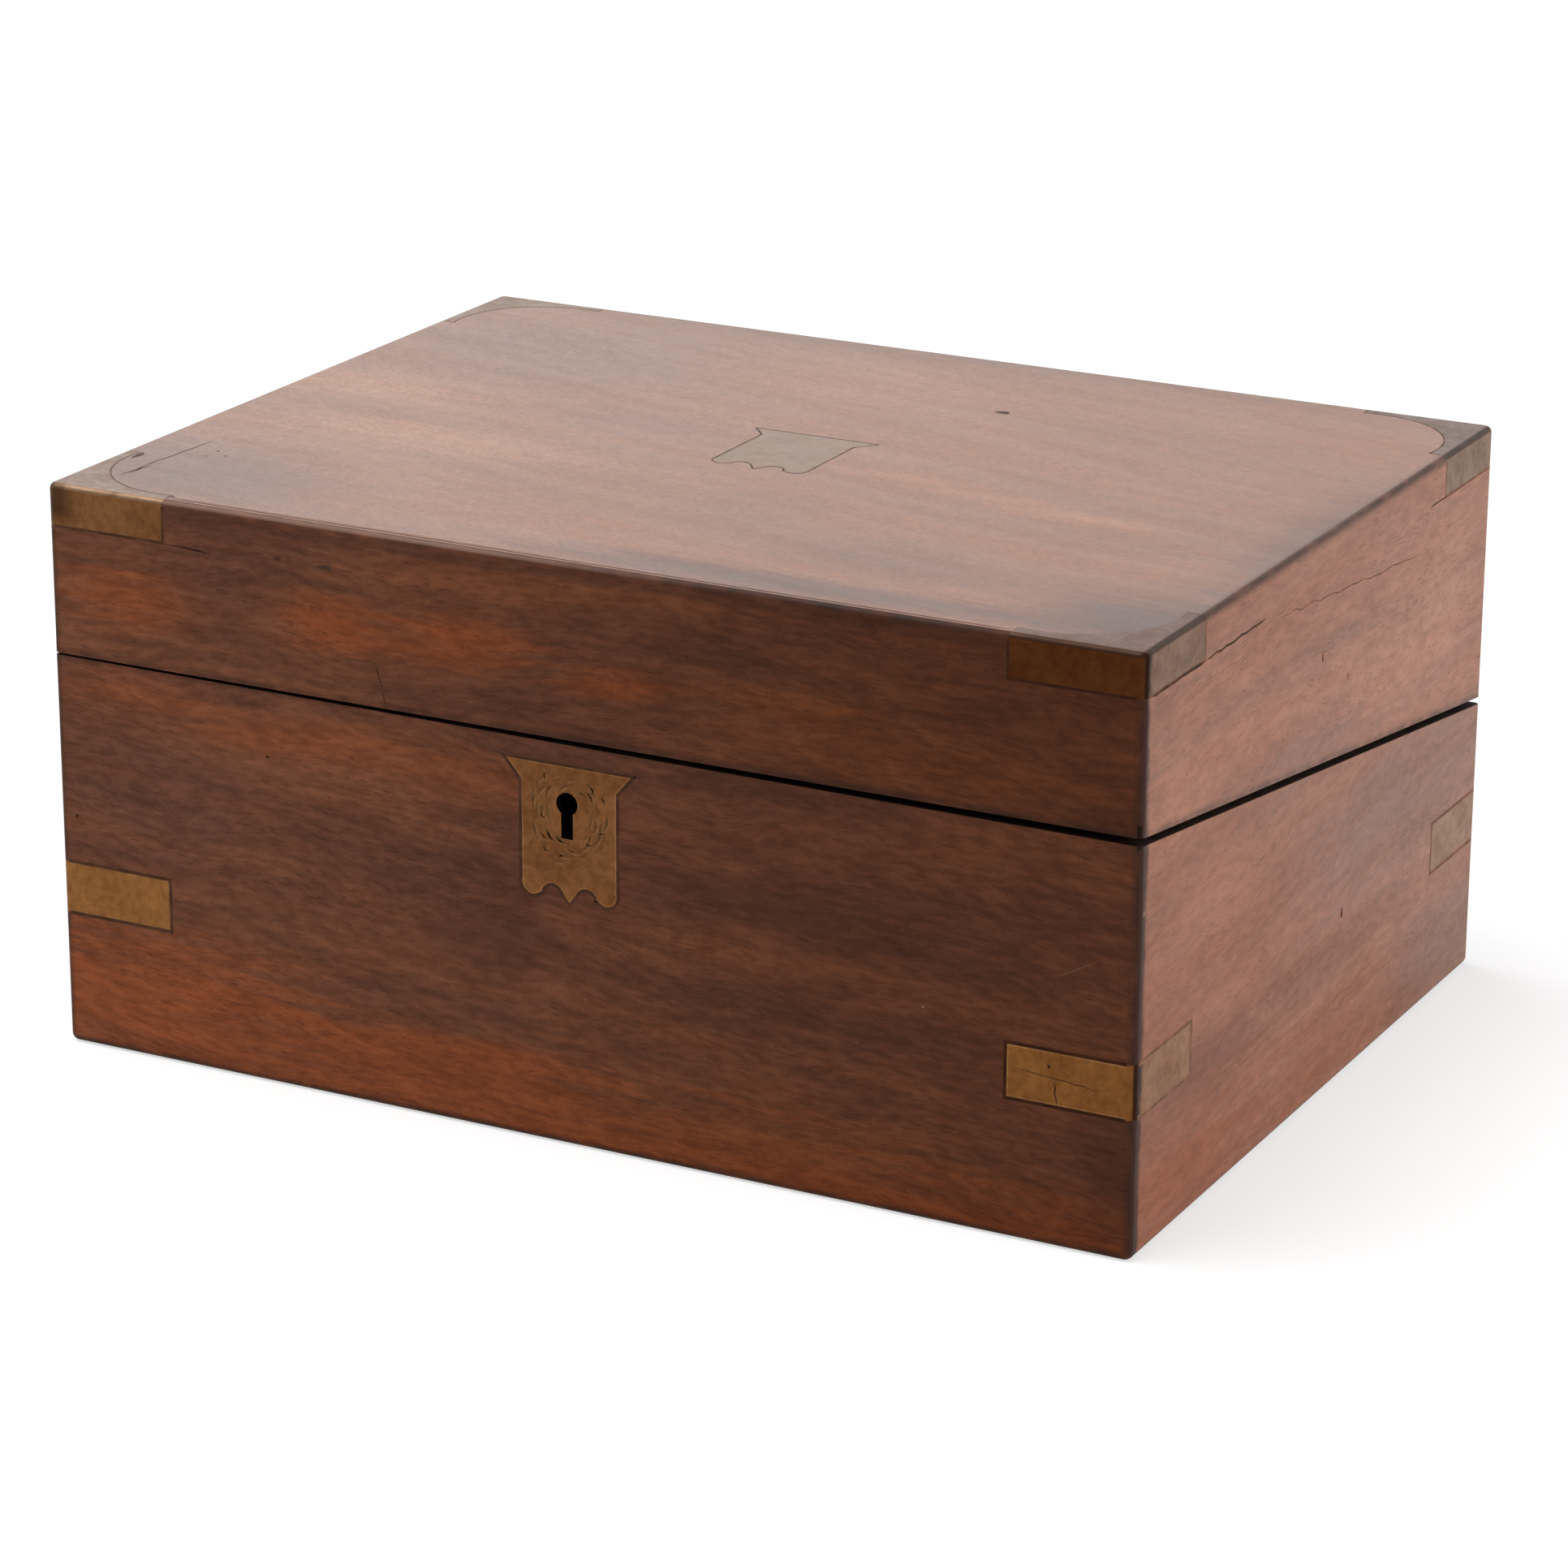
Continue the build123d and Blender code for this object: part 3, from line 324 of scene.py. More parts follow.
# ---------------------------------------------------------------- wood
class Wood(Look):
    """Planed and polished wood, with its grain along one axis and leaning a little."""

    def __init__(self, name, along, across, lean=0.0, shift=0.0):
        super().__init__(name)
        axes = {"x": self.x, "y": self.y, "z": self.z}
        depth = ({"x", "y", "z"} - {along, across}).pop()
        self.along = axes[along]
        self.depth = self.plus(axes[depth], shift)
        level = self.math("MULTIPLY_ADD", self.along, -lean, axes[across])
        slow = self.noise(self.stretch(level, 130, 55), 2.0)
        quick = self.noise(self.stretch(level, 30, 14), 2.0)
        sway = self.plus(self.rise(slow, 0.3, 0.7, -3.0, 3.0), self.rise(quick, 0.3, 0.7, -0.35, 0.35))
        self.across = self.plus(level, sway)
        self.fray = 0.35

    def stretch(self, across, long, short):
        """A vector that makes noise marks about long by short millimetres."""
        a = self.times(self.along, 1 / long)
        b = self.times(across, 1 / short)
        c = self.times(self.depth, 1 / max(short, 8))
        return self.vector(a, b, c)

    def figure(self, dark, middle, light, streaks, detail):
        """Broad soft bands with finer streaks in them."""
        broad = self.noise(self.stretch(self.across, 110, 16), detail, 0.60)
        streak = self.noise(self.stretch(self.across, 26, 2.2), 4.0, 0.60)
        both = self.math("MULTIPLY_ADD", streak, streaks, self.times(broad, 1 - streaks))
        colour = self.mix(self.rise(both, 0.38, 0.52), dark, middle)
        return self.mix(self.rise(both, 0.48, 0.64), colour, light)

    def flecks(self, colour, long, short, amount):
        """Short dark flecks, fine ones over coarse ones."""
        coarse = self.noise(self.stretch(self.across, 3.2 * long, 3.0 * short), 3.0, 0.6)
        colour = self.multiply(self.rise(coarse, 0.34, 0.66, 0.0, 0.6 * amount), colour, shadow_tone)
        fine = self.noise(self.stretch(self.across, long, short), 3.0, 0.65)
        return self.multiply(self.rise(fine, 0.34, 0.66, 0.0, amount), colour, shadow_tone)

    def fade(self, colour, end_tone):
        """Lets the colour drift towards the far end of the board."""
        return self.multiply(self.rise(self.along, -half_width, half_width), colour, end_tone)

    def ragged(self, reach):
        """Fingers that stray along the grain by up to reach millimetres."""
        fingers = self.noise(self.stretch(self.across, 42, 2.6), 4.0, 0.65)
        return self.rise(fingers, 0.3, 0.7, -reach, reach)

    def bands(self, colour, marks):
        """Bands of colour along the grain: (across at 0, lean, half width, amount, tone)."""
        for middle, lean, half, amount, tone in marks:
            line = self.math("MULTIPLY_ADD", self.along, lean, middle)
            off = self.absolute(self.minus(self.plain, line))
            off = self.plus(off, self.ragged(0.8 * half))
            colour = self.mix(self.rise(off, 1.8 * half, 0.1 * half, 0.0, amount), colour, tone)
        return colour

    def clouds(self, colour, marks):
        """Soft patches: (along, across, half length, half width, amount, tone)."""
        for a, c, long, short, amount, tone in marks:
            da = self.times(self.minus(self.along, a), 1 / long)
            dc = self.times(self.minus(self.plain, c), 1 / short)
            square = self.plus(self.times(da, da), self.times(dc, dc))
            away = self.plus(self.math("SQRT", square), self.ragged(self.fray))
            colour = self.mix(self.rise(away, 1.35, 0.15, 0.0, amount), colour, tone)
        return colour

    def pores(self, colour, amount):
        """Short dark pores, crowded in places; returns the colour and the pore mask."""
        pore = self.noise(self.stretch(self.across, 3.4, 0.42), 1.0)
        crowd = self.noise(self.stretch(self.across, 46, 6), 3.0)
        limit = self.rise(crowd, 0.3, 0.7, 0.66, 0.54)
        mask = self.rise(self.minus(pore, limit), 0.0, 0.14)
        return self.mix(self.times(mask, amount), colour, pore_dark), mask

    def worn(self, colour, reach):
        """Grime and painted shade along the outer edges, a painted highlight on the top edges at the left, and
        painted shade beside the parting line and on its rims.
        """
        patchy = self.cloud(7, 3.0)
        # Darkening along the outer edges: partly dirt, partly painted shade on the rounded arrises.
        edge = self.rise(arris_distance(self), reach, 0.4)
        # Painted highlight: the top edges on the left are made paler, as if lit.
        lit = self.times(self.rise(self.z, height - 5, height - 3), self.rise(self.x, 50, -40))
        edge = self.times(edge, self.rise(patchy, 0.30, 0.62, 0.45, 0.95))
        pale = self.times(lit, self.rise(arris_distance(self), 1.35, 0.75, 0.0, 0.5))
        colour = self.mix(pale, self.mix(edge, colour, grime_and_shade), painted_edge_highlight)
        # Painted shade on the front-right upright arris.
        colour = self.mix(beside_front(self), colour, arris_shade)
        top_right = self.math("MINIMUM", self.x, self.plus(self.z, half_width - height))
        dirt = self.rise(top_right, half_width - 3.4, half_width - 1.2, 0.0, 0.45)
        colour = self.mix(dirt, colour, grime_and_shade)
        off_rim = self.absolute(rim_distance(self))
        # Painted shade on the outer faces beside the gap at the parting line.
        beside = self.rise(off_rim, 2.4, 0.4, 0.0, 0.6)
        beside = self.times(beside, self.rise(patchy, 0.35, 0.6, 0.4, 1.0))
        colour = self.mix(beside, colour, grime_and_shade)
        # The rims at the parting line are painted dark as shade in the gap.
        rim_shade_tone = self.mix(self.rise(patchy, 0.35, 0.65), rim_shade, crevice_shade)
        return self.mix(self.on_rim(off_rim), colour, rim_shade_tone)

    def on_rim(self, off_rim):
        """1 on the rims that meet at the parting line, which are painted dark as shade, and 0 elsewhere."""
        inset = self.minus(half_width, self.absolute(self.x))
        inset = self.math("MINIMUM", inset, self.minus(half_depth, self.absolute(self.y)))
        shaded_rim = self.times(self.rise(off_rim, 3.2, 2.8), self.rise(inset, wall - 0.2, wall - 1.4))
        return self.times(shaded_rim, self.rise(inset, 0.1, 0.4))

    def finish(self, colour, mask, rough, polish, coat=0.0):
        """Sets the shader; the pores are sunk and the rims painted dark as shade are dull."""
        height_map = self.minus(self.noise(self.stretch(self.across, 12, 1.1), 2.0), mask)
        rub = self.noise(self.stretch(self.across, 60, 9), 3.0)
        dull = self.on_rim(self.absolute(rim_distance(self)))
        sheen = self.rise(rub, 0.35, 0.65, rough - 0.03, rough + 0.04)
        self.set(
            Base_Color=colour,
            Roughness=self.math("MULTIPLY_ADD", dull, 0.5, sheen),
            Normal=self.bump(height_map, 0.015),
            Specular_IOR_Level=polish,
            Coat_Weight=coat,
            Coat_Roughness=0.32,
        )
        return self.material


front_figure = (front_dark, front_brown, front_tan, 0.38, 5.0)
side_figure = (side_grey, side_brown, side_tan, 0.32, 4.0)
top_figure = (top_dull, top_brown, top_tan, 0.18, 3.0)
inner_figure = (inner_brown, inner_tan, inner_light, 0.38, 5.0)
front_flecks = (5.4, 1.6, 0.50)
side_flecks = (5.6, 2.0, 0.36)
top_flecks = (1.7, 1.6, 0.42)
inner_flecks = (7.0, 1.2, 0.35)

# Bands and clouds of other tones; Wood.bands and Wood.clouds say what their numbers are.
front_bands = [(6, -0.045, 12, 0.90, front_red)]
front_clouds = [
    (-122, 22, 52, 15, 0.85, front_red),
    (-40, 17, 54, 9, 0.75, front_red),
    (75, 13, 80, 7, 0.55, front_rust),
    (-128, 100, 30, 7, 0.50, front_red),
    (-74, 95, 46, 6, 0.60, front_red),
    (-30, 92, 22, 8, 0.35, front_red),
    (75, 92, 60, 8, 0.35, front_tan),
    (-120, 72, 34, 18, 0.35, front_lilac),
    (-45, 64, 50, 12, 0.40, front_dark),
    (60, 71, 90, 8, 0.40, front_heart),
    (75, 50, 60, 8, 0.35, front_heart),
    (-19, 83, 24, 4, 0.50, front_heart),
    (60, 62, 34, 3, 0.30, front_tan),
    (148, 26, 10, 26, 0.60, front_heart),
]
lid_front_clouds = [
    (-128, 125, 24, 10, 0.80, front_red),
    (-68, 127, 19, 8, 0.95, front_red),
    (-32, 128, 24, 7, 0.90, front_red),
    (12, 123, 18, 5, 0.80, front_red),
    (62, 126, 22, 6, 0.75, front_rust),
    (-22, 143, 36, 5, 0.50, front_rust),
    (88, 117, 60, 7, 0.35, front_rust),
    (110, 122, 20, 6, 0.35, front_tan),
    (-100, 128, 17, 20, 0.65, front_dark),
    (-100, 146, 60, 4, 0.50, front_dark),
    (42, 135, 20, 5, 0.60, front_heart),
    (-45, 114, 40, 5, 0.40, front_dark),
    (90, 140, 60, 6, 0.35, front_heart),
    # a band just under the top's edge: painted shade below the rounded arris
    (0, 149.0, 330, 1.5, 0.65, front_heart),
]
side_clouds = [
    (-80, 62, 80, 56, 0.75, side_warm),
    (-70, 78, 42, 12, 0.55, side_pink),
    (-72, 34, 38, 13, 0.90, side_umber),
    (10, 36, 60, 8, 0.50, side_umber),
    (-62, 50, 26, 7, 0.45, side_pink),
    (55, 60, 70, 16, 0.75, side_grey),
    (62, 7, 22, 7, 0.90, side_umber),
    (-112, 14, 10, 30, 0.60, side_umber),
    (-85, 10, 60, 22, 1.00, side_red),
    (8, 19, 56, 8, 0.45, side_pink),
    (15, 12, 80, 16, 0.95, side_red),
    (88, 14, 40, 14, 0.70, side_grey),
]
lid_side_clouds = [
    (-71, 128, 18, 6, 0.55, side_grey),
    (-84, 114, 34, 8, 0.60, side_pink),
    (-20, 116, 60, 9, 0.35, side_pink),
    (66, 102, 44, 9, 0.80, side_pink),
    (75, 118, 60, 20, 0.60, side_pale),
    (40, 128, 60, 6, 0.35, side_tan),
    (0, 146, 110, 4, 0.45, side_grey),
]
top_clouds = [
    (-128, 8, 32, 15, 0.95, top_pink),
    (-88, -32, 56, 15, 0.85, top_pink),
    (36, -7, 24, 4, 0.75, top_pink),
    (64, -13, 26, 4, 0.75, top_pink),
    (94, -20, 28, 5, 0.85, top_pink),
    (-10, 72, 70, 26, 0.35, top_pink),
    (-22, -80, 46, 15, 0.75, top_rust),
    (132, 76, 16, 22, 0.70, top_rust),
    (-105, 66, 62, 46, 0.55, top_grey),
    (-50, 8, 30, 10, 0.45, top_grey),
    (-132, -88, 54, 34, 0.75, top_slate),
    (18, -54, 24, 24, 0.32, top_slate),
    (62, -64, 30, 9, 0.35, top_slate),
    (78, -34, 50, 6, 0.55, top_dull),
    (72, -78, 44, 12, 0.50, top_slate),
    (60, -104, 96, 9, 0.80, top_smoke),
    (146, -92, 36, 28, 1.00, top_smoke),
    (149, -10, 11, 66, 0.60, top_smoke),
    (0, 112, 140, 9, 0.45, top_smoke),
]


def outer_wood(name, face, figure, end_tone, bands=(), clouds=(), polish=0.08, lean=0.0, shift=0.0,
               edge=2.0):
    """Wood of the outside of the box; edge is how far the darkening, partly dirt and partly painted shade, reaches
    in from its arrises.
    """
    look = Wood(name, "x" if face == "front" else "y", "z", lean, shift)
    look.plain = look.z
    colour = look.clouds(look.bands(look.figure(*figure), bands), clouds)
    colour = look.flecks(colour, *(front_flecks if face == "front" else side_flecks))
    colour, mask = look.pores(look.fade(colour, end_tone), 0.38)
    colour = look.worn(colour, edge)
    # The bore behind the keyhole is painted black as shade.
    if name == "front_board":
        colour = look.mix(keyhole_depth(look), colour, crevice_shade)
    return look.finish(colour, mask, 0.42, polish)


def top_wood(name):
    """The top board, which has clouded and greyed towards its edges."""
    look = Wood(name, "x", "y", -0.20)
    look.fray = 0.20
    look.plain = look.y
    colour = look.flecks(look.clouds(look.figure(*top_figure), top_clouds), *top_flecks)
    colour, mask = look.pores(look.fade(colour, top_fade), 0.45)
    return look.finish(look.worn(colour, 2.0), mask, 0.44, 0.5, 0.45)


def inner_wood(name, along, across, shift):
    """Cleaner wood of the fittings inside."""
    look = Wood(name, along, across, 0.0, shift)
    colour, mask = look.pores(look.flecks(look.figure(*inner_figure), *inner_flecks), 0.5)
    return look.finish(colour, mask, 0.45, 0.35)


# ---------------------------------------------------------------- metal, leather and glass
def patina(look, tone, strength):
    """Cloudy tarnish over a tone of brass."""
    broad = look.rise(look.cloud(11, 4.0, 0.6), 0.35, 0.62, strength, 0.0)
    colour = look.multiply(broad, tone, brass_tarnish)
    small = look.rise(look.cloud(2.6, 3.0, 0.6), 0.38, 0.60, strength, 0.0)
    colour = look.multiply(small, colour, brass_tarnish)
    return look.mix(look.rise(look.cloud(1.1), 0.66, 0.78, 0.0, 0.30), colour, grime_and_shade)


def finish_brass(look, colour, rough):
    """Sets the shader of a metal that was filed along and has gone dull in places."""
    stretched = {0: look.place, 1: (0.4, 0.4, 5.0)}
    long_way = look.add("ShaderNodeVectorMath", stretched, operation="MULTIPLY").outputs[0]
    lumps = look.cloud(9, 4.0, 0.6)
    look.set(
        Base_Color=colour,
        Metallic=1.0,
        Roughness=look.rise(lumps, 0.3, 0.7, rough + 0.08, rough - 0.05),
        Normal=look.bump(look.math("MULTIPLY_ADD", look.noise(long_way), 0.15, lumps), 0.04),
    )
    return look.material


def outer_brass(name, front, ends, top):
    """Tarnished brass in lit and shaded copies, painted light and shade: the front, the ends and the top each get
    their own tones; a pair of tones runs from left to right, and on the ends from front to rear.
    """
    look = Look(name)
    frontward = look.times(look.facing[1], -1.0)
    sideward = look.absolute(look.facing[0])
    across = look.rise(look.x, -100, 100)
    # Tones chosen by which way a face looks and where it lies: painted light and shade.
    end_tone = look.mix(look.rise(look.y, -80, 80), *ends)
    tone = look.mix(look.rise(frontward, 0.45, 0.85), end_tone, look.mix(across, *front))
    smoky = look.times(across, look.rise(look.y, -20, -95, 0.0, 0.8))
    upper = look.multiply(smoky, look.mix(across, *top), plate_smoke)
    tone = look.mix(look.rise(look.facing[2], 0.45, 0.85), tone, upper)
    tone = patina(look, tone, 0.5)
    smudge = look.times(look.rise(look.x, -141, -149), look.rise(look.z, 140, 146))
    smudge = look.times(smudge, look.rise(frontward, 0.6, 0.8, 0.0, 0.7))
    tone = look.mix(smudge, tone, grime_and_shade)
    upward = look.rise(look.facing[2], 0.2, 0.4)
    side_arris = look.times(look.rise(sideward, 0.2, 0.4), upward)
    side_arris = look.times(side_arris, look.rise(look.x, -120, 120, 0.3, 0.75))
    tone = look.mix(side_arris, tone, grime_and_shade)
    # Painted shade on the brass at the front-right upright arris.
    tone = look.mix(beside_front(look), tone, arris_shade)
    top_arris = look.times(look.rise(frontward, 0.2, 0.4), upward)
    worn = look.rise(look.cloud(7, 4.0, 0.6), 0.34, 0.56, 0.35, 1.0)
    bare = look.times(look.rise(look.x, 40, -120), worn)
    tone = look.mix(look.times(top_arris, 0.96), tone, look.mix(bare, grime_and_shade, brass_rubbed))
    return finish_brass(look, tone, 0.44)


def pierced_brass(name, tone):
    """Brass of a plate whose edges and holes, hidden from the light, look black from the front."""
    look = Look(name)
    frontward = look.times(look.facing[1], -1.0)
    colour = look.mix(look.rise(frontward, 0.2, 0.6), crevice_shade, patina(look, tone, 0.60))
    return finish_brass(look, colour, 0.44)


def rim_brass(name):
    """Brass let into the rims, painted black as shade on its faces that look to the front, which are only seen
    through the parting line.
    """
    look = Look(name)
    colour = patina(look, brass_inner, 0.6)
    colour = look.mix(look.rise(look.facing[1], -0.2, -0.6), colour, crevice_shade)
    return finish_brass(look, colour, 0.34)


def brass(name, tone, strength=0.6, rough=0.32):
    """Brass of one tone under its tarnish."""
    look = Look(name)
    return finish_brass(look, patina(look, tone, strength), rough)


def leather():
    """Old goat skin with a fine pebble and rubbed places."""
    look = Look("skiver")
    cell = look.spots(look.vector(*(look.times(v, 1.1) for v in (look.x, look.y, look.z))))
    rub = look.cloud(34, 5.0, 0.6)
    colour = look.mix(look.rise(rub, 0.35, 0.62), leather_dark, leather_red)
    colour = look.mix(look.rise(cell, 0.45, 0.75, 0.0, 0.5), colour, leather_dark)
    look.set(
        Base_Color=colour,
        Roughness=look.rise(rub, 0.3, 0.7, 0.62, 0.42),
        Normal=look.bump(look.times(cell, -1.0), 0.10),
    )
    return look.material


def glass():
    """Old bottle glass, faintly green and not quite even."""
    look = Look("bottle_glass")
    wave = look.cloud(10)
    look.set(
        Base_Color=look.mix(look.rise(wave, 0.3, 0.7), glass_green, glass_clear),
        Roughness=0.03,
        Normal=look.bump(wave, 0.25),
        IOR=1.5,
        Transmission_Weight=1.0,
    )
    return look.material


def steel():
    """Spring steel, blued in patches."""
    look = Look("blued_steel")
    cloud = look.cloud(2, 3.0)
    look.set(
        Base_Color=look.mix(look.rise(cloud, 0.35, 0.65), steel_blue, steel_grey),
        Metallic=1.0,
        Roughness=0.35,
    )
    return look.material


def ink():
    """Ink with a skin that is glossy in places."""
    look = Look("dried_ink")
    skin = look.cloud(1.3, 3.0)
    look.set(
        Base_Color=look.mix(look.rise(skin, 0.4, 0.7), ink_black, ink_sheen),
        Roughness=look.rise(skin, 0.3, 0.7, 0.15, 0.5),
    )
    return look.material


def drawn_line(name, dark, faint, fade=0.5, right_tone=white):
    """A thin line whose colour comes and goes along its way, and drifts towards the right; on the front that drift
    is partly painted shade.
    """
    look = Look(name)
    patchy = look.cloud(4.5, 3.0)
    colour = look.mix(look.rise(patchy, 0.42, 0.62, 0.0, fade), dark, faint)
    look.set(
        Base_Color=look.multiply(look.rise(look.x, -20, 130), colour, right_tone),
        Roughness=look.rise(patchy, 0.3, 0.7, 0.5, 0.7),
        Specular_IOR_Level=0.05,
    )
    return look.material


# ---------------------------------------------------------------- which look each node wears
def make_looks():
    """One material per kind of surface, by name."""
    top_plates = (brass_top_left, brass_top_right)
    lid_ends = (brass_lid_end_near, brass_lid_end_far)
    base_ends = (brass_end_near, brass_end_far)
    base_front = {"bands": front_bands, "clouds": front_clouds, "lean": -0.05, "edge": 3.0}
    lid_front = {"clouds": lid_front_clouds, "lean": -0.03, "shift": 40, "edge": 3.0}
    side = {"clouds": side_clouds, "polish": 0.2, "lean": 0.03}
    lid_side = {"clouds": lid_side_clouds, "polish": 0.2, "shift": 60}
    return {
        "base_front": outer_wood("front_board", "front", front_figure, front_fade_and_shade, **base_front),
        "lid_front": outer_wood("lid_front_board", "front", front_figure, lid_fade_and_shade, **lid_front),
        "side": outer_wood("side_board", "side", side_figure, side_fade, **side),
        "lid_side": outer_wood("lid_side_board", "side", side_figure, lid_side_fade, **lid_side),
        "rear": outer_wood("rear_board", "front", side_figure, white, polish=0.2, shift=90),
        "top": top_wood("top_board"),
        "inner_long": inner_wood("inner_board", "x", "y", 20),
        "inner_upright": inner_wood("inner_upright_board", "x", "z", 55),
        "lid_brass": outer_brass("brass_of_lid", (brass_front, brass_shade), lid_ends, top_plates),
        "base_brass": outer_brass("brass_of_base", (brass_strap, brass_strap_right), base_ends, top_plates),
        "lock_brass": pierced_brass("brass_of_escutcheon", brass_lock),
        "top_brass": brass("brass_of_cartouche", brass_cartouche, 0.2, 0.44),
        "rim_brass": rim_brass("brass_of_rims"),
        "hinge_brass": brass("brass_of_hinges", brass_hinge, 0.8, 0.42),
        "case_brass": brass("brass_of_lock_case", lock_case_shade),
        "inner_brass": brass("brass_inside", brass_inner),
        "dark_line": drawn_line("line_dark", filler_front, front_heart, 0.6, line_fade_and_shade),
        "crack_line": drawn_line("line_crack", crack_dark, front_heart, 0.6),
        "faint_line": drawn_line("line_faint", crack_faint, side_red, 0.7),
        "side_line": drawn_line("line_side", filler_side, side_grey, 0.7),
        "top_line_soft": drawn_line("line_top_soft", filler_top, top_grey, 0.8),
        "top_line_dark": drawn_line("line_top_dark", filler_top_dark, top_grey, 0.7),
        "pale_line": drawn_line("line_pale", scratch_and_glint_pale, front_tan, 0.6),
        "cut_line": drawn_line("line_cut", brass_cut, brass_lock, 0.8),
        "glint_line": drawn_line("line_glint", brass_glint, brass_lock, 0.9),
        "front_rub_highlight": brass("brass_rubbed_highlight_front", brass_glint, 0.6, 0.44),
        "side_rub_highlight": brass("brass_rubbed_highlight_side", brass_end_near, 0.2, 0.44),
        "leather": leather(),
        "glass": glass(),
        "steel": steel(),
    }


def dress(looks):
    """Gives every CAD node its material."""
    wearers = {
        "base_front": ("base_front",),
        "lid_front": ("lid_front",),
        "side": ("base_left", "base_right"),
        "lid_side": ("lid_left", "lid_right"),
        "rear": ("base_rear", "lid_rear"),
        "top": ("lid_top",),
        "inner_upright": ("trough_partition",),
        "top_brass": ("lid_cartouche",),
        "lock_brass": ("escutcheon",),
        "rim_brass": ("lock_plate", "link_plate"),
        "case_brass": ("lock_case",),
        "hinge_brass": ("hinge_leaves_base", "hinge_leaves_lid", "hinge_pins"),
        "steel": ("lock_spring", "lock_lever"),
        "glass": ("inkwell_left", "inkwell_right"),
        "leather": ("base_flap_leather", "lid_flap_leather"),
    }
    by_node = {node: look for look, nodes in wearers.items() for node in nodes}
    for row in frame["record"]["subparts"]:
        node = row["node"]
        if node in by_node:
            look = by_node[node]
        elif node.startswith("base_strap"):
            look = "base_brass"
        elif node.startswith("lid_corner"):
            look = "lid_brass"
        elif row["material_slot"] == "brass":
            look = "inner_brass"
        else:
            look = "inner_long"
        for slot in frame["nodes"][node].material_slots:
            slot.material = looks[look]


# ---------------------------------------------------------------- drawn lines on the faces
def add_mesh(name, vertices, faces, material, body):
    """A new piece from points in metres, riding on a body."""
    mesh = bpy.data.meshes.new(name)
    mesh.from_pydata(vertices, [], faces)
    mesh.materials.append(material)
    piece = bpy.data.objects.new(name, mesh)
    bpy.context.scene.collection.objects.link(piece)
    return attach(piece, body)


def rounded(point):
    """A point's place in whole hundredths of a millimetre, to know it again."""
    return tuple(round(part / (0.01 * mm)) for part in point)


def sides_of(loop):
    """Pairs of neighbouring points all the way round."""
    return zip(loop, loop[1:] + loop[:1])


def loop_length(loop):
    return sum((a - b).length for a, b in sides_of(loop))


def face_border(node, normal):
    """Points round the largest outermost flat face of a CAD node that looks along normal."""
    mesh = frame["nodes"][node].data
    reach = max(vertex.co.dot(normal) for vertex in mesh.vertices)
    following = {}
    places = {}
    for polygon in mesh.polygons:
        points = [mesh.vertices[i].co for i in polygon.vertices]
        flat = all(abs(point.dot(normal) - reach) < touch * mm for point in points)
        if polygon.normal.dot(normal) < 0.99 or not flat:
            continue
        for i, point in enumerate(points):
            after = rounded(points[(i + 1) % len(points)])
            before = rounded(point)
            places[before] = point.copy()
            if before in following.get(after, ()):
                following[after].remove(before)
            else:
                following.setdefault(before, []).append(after)
    loops = []
    while any(following.values()):
        at = next(key for key, ends in following.items() if ends)
        loop = []
        while following.get(at):
            loop.append(places[at])
            at = following[at].pop()
        loops.append(loop)
    return max(loops, key=loop_length)


def near_arris(point, normal):
    """Whether a point of a face lies where the box's rounded edge begins."""
    limits = (half_width - arris_round, half_depth - arris_round)
    for value, limit, part in zip(point, limits, normal):
        if abs(part) < 0.5 and abs(value) > (limit - 0.1) * mm:
            return True
    return abs(normal.z) < 0.5 and point.z > (height - arris_round - 0.1) * mm


def border_runs(node, normal):
    """The parts of a border that don't run along a rounded edge of the box."""
    loop = face_border(node, normal)
    hidden = [near_arris(a, normal) and near_arris(b, normal) for a, b in sides_of(loop)]
    if not any(hidden):
        return [loop + loop[:2]]
    start = hidden.index(True) + 1
    order = list(range(start, len(loop))) + list(range(start))
    runs = []
    run = [loop[order[0]]]
    for i in order:
        if hidden[i]:
            runs.append(run)
            run = [loop[(i + 1) % len(loop)]]
        else:
            run.append(loop[(i + 1) % len(loop)])
    return [points for points in runs if len(points) > 1]


def line_strip(points, widths, normal, inward=0.0):
    """Vertices and faces of a flat strip along points, with mitred bends, in metres."""
    vertices = []
    for i, point in enumerate(points):
        before = (point - points[i - 1]).normalized() if i else None
        after = (points[i + 1] - point).normalized() if i + 1 < len(points) else None
        before = before or after
        after = after or before
        mitre = (before + after).normalized()
        side = normal.cross(mitre) / max(0.5, mitre.dot(before))
        lifted = point + side * inward + normal * line_lift * mm
        vertices += [lifted - side * widths[i] / 2, lifted + side * widths[i] / 2]
    faces = [(2 * i, 2 * i + 2, 2 * i + 3, 2 * i + 1) for i in range(len(points) - 1)]
    return vertices, faces


def outline(name, node, normal, width, inward, material, body):
    """A line round an inlaid plate; inward moves it onto the plate."""
    vertices = []
    faces = []
    for points in border_runs(node, normal):
        more_vertices, more_faces = line_strip(points, [width * mm] * len(points), normal, inward * mm)
        start = len(vertices)
        vertices += more_vertices
        faces += [tuple(start + i for i in face) for face in more_faces]
    return add_mesh(name, vertices, faces, material, body)


def facing(name, node, normal, limit, material, body):
    """A veneer over the polygons of a CAD node that turn to normal by at least limit."""
    mesh = frame["nodes"][node].data
    vertices = []
    faces = []
    for polygon in mesh.polygons:
        if polygon.normal.dot(normal) < limit:
            continue
        start = len(vertices)
        vertices += [mesh.vertices[i].co + normal * facing_lift * mm for i in polygon.vertices]
        faces.append(tuple(range(start, len(vertices))))
    return add_mesh(name, vertices, faces, material, body)


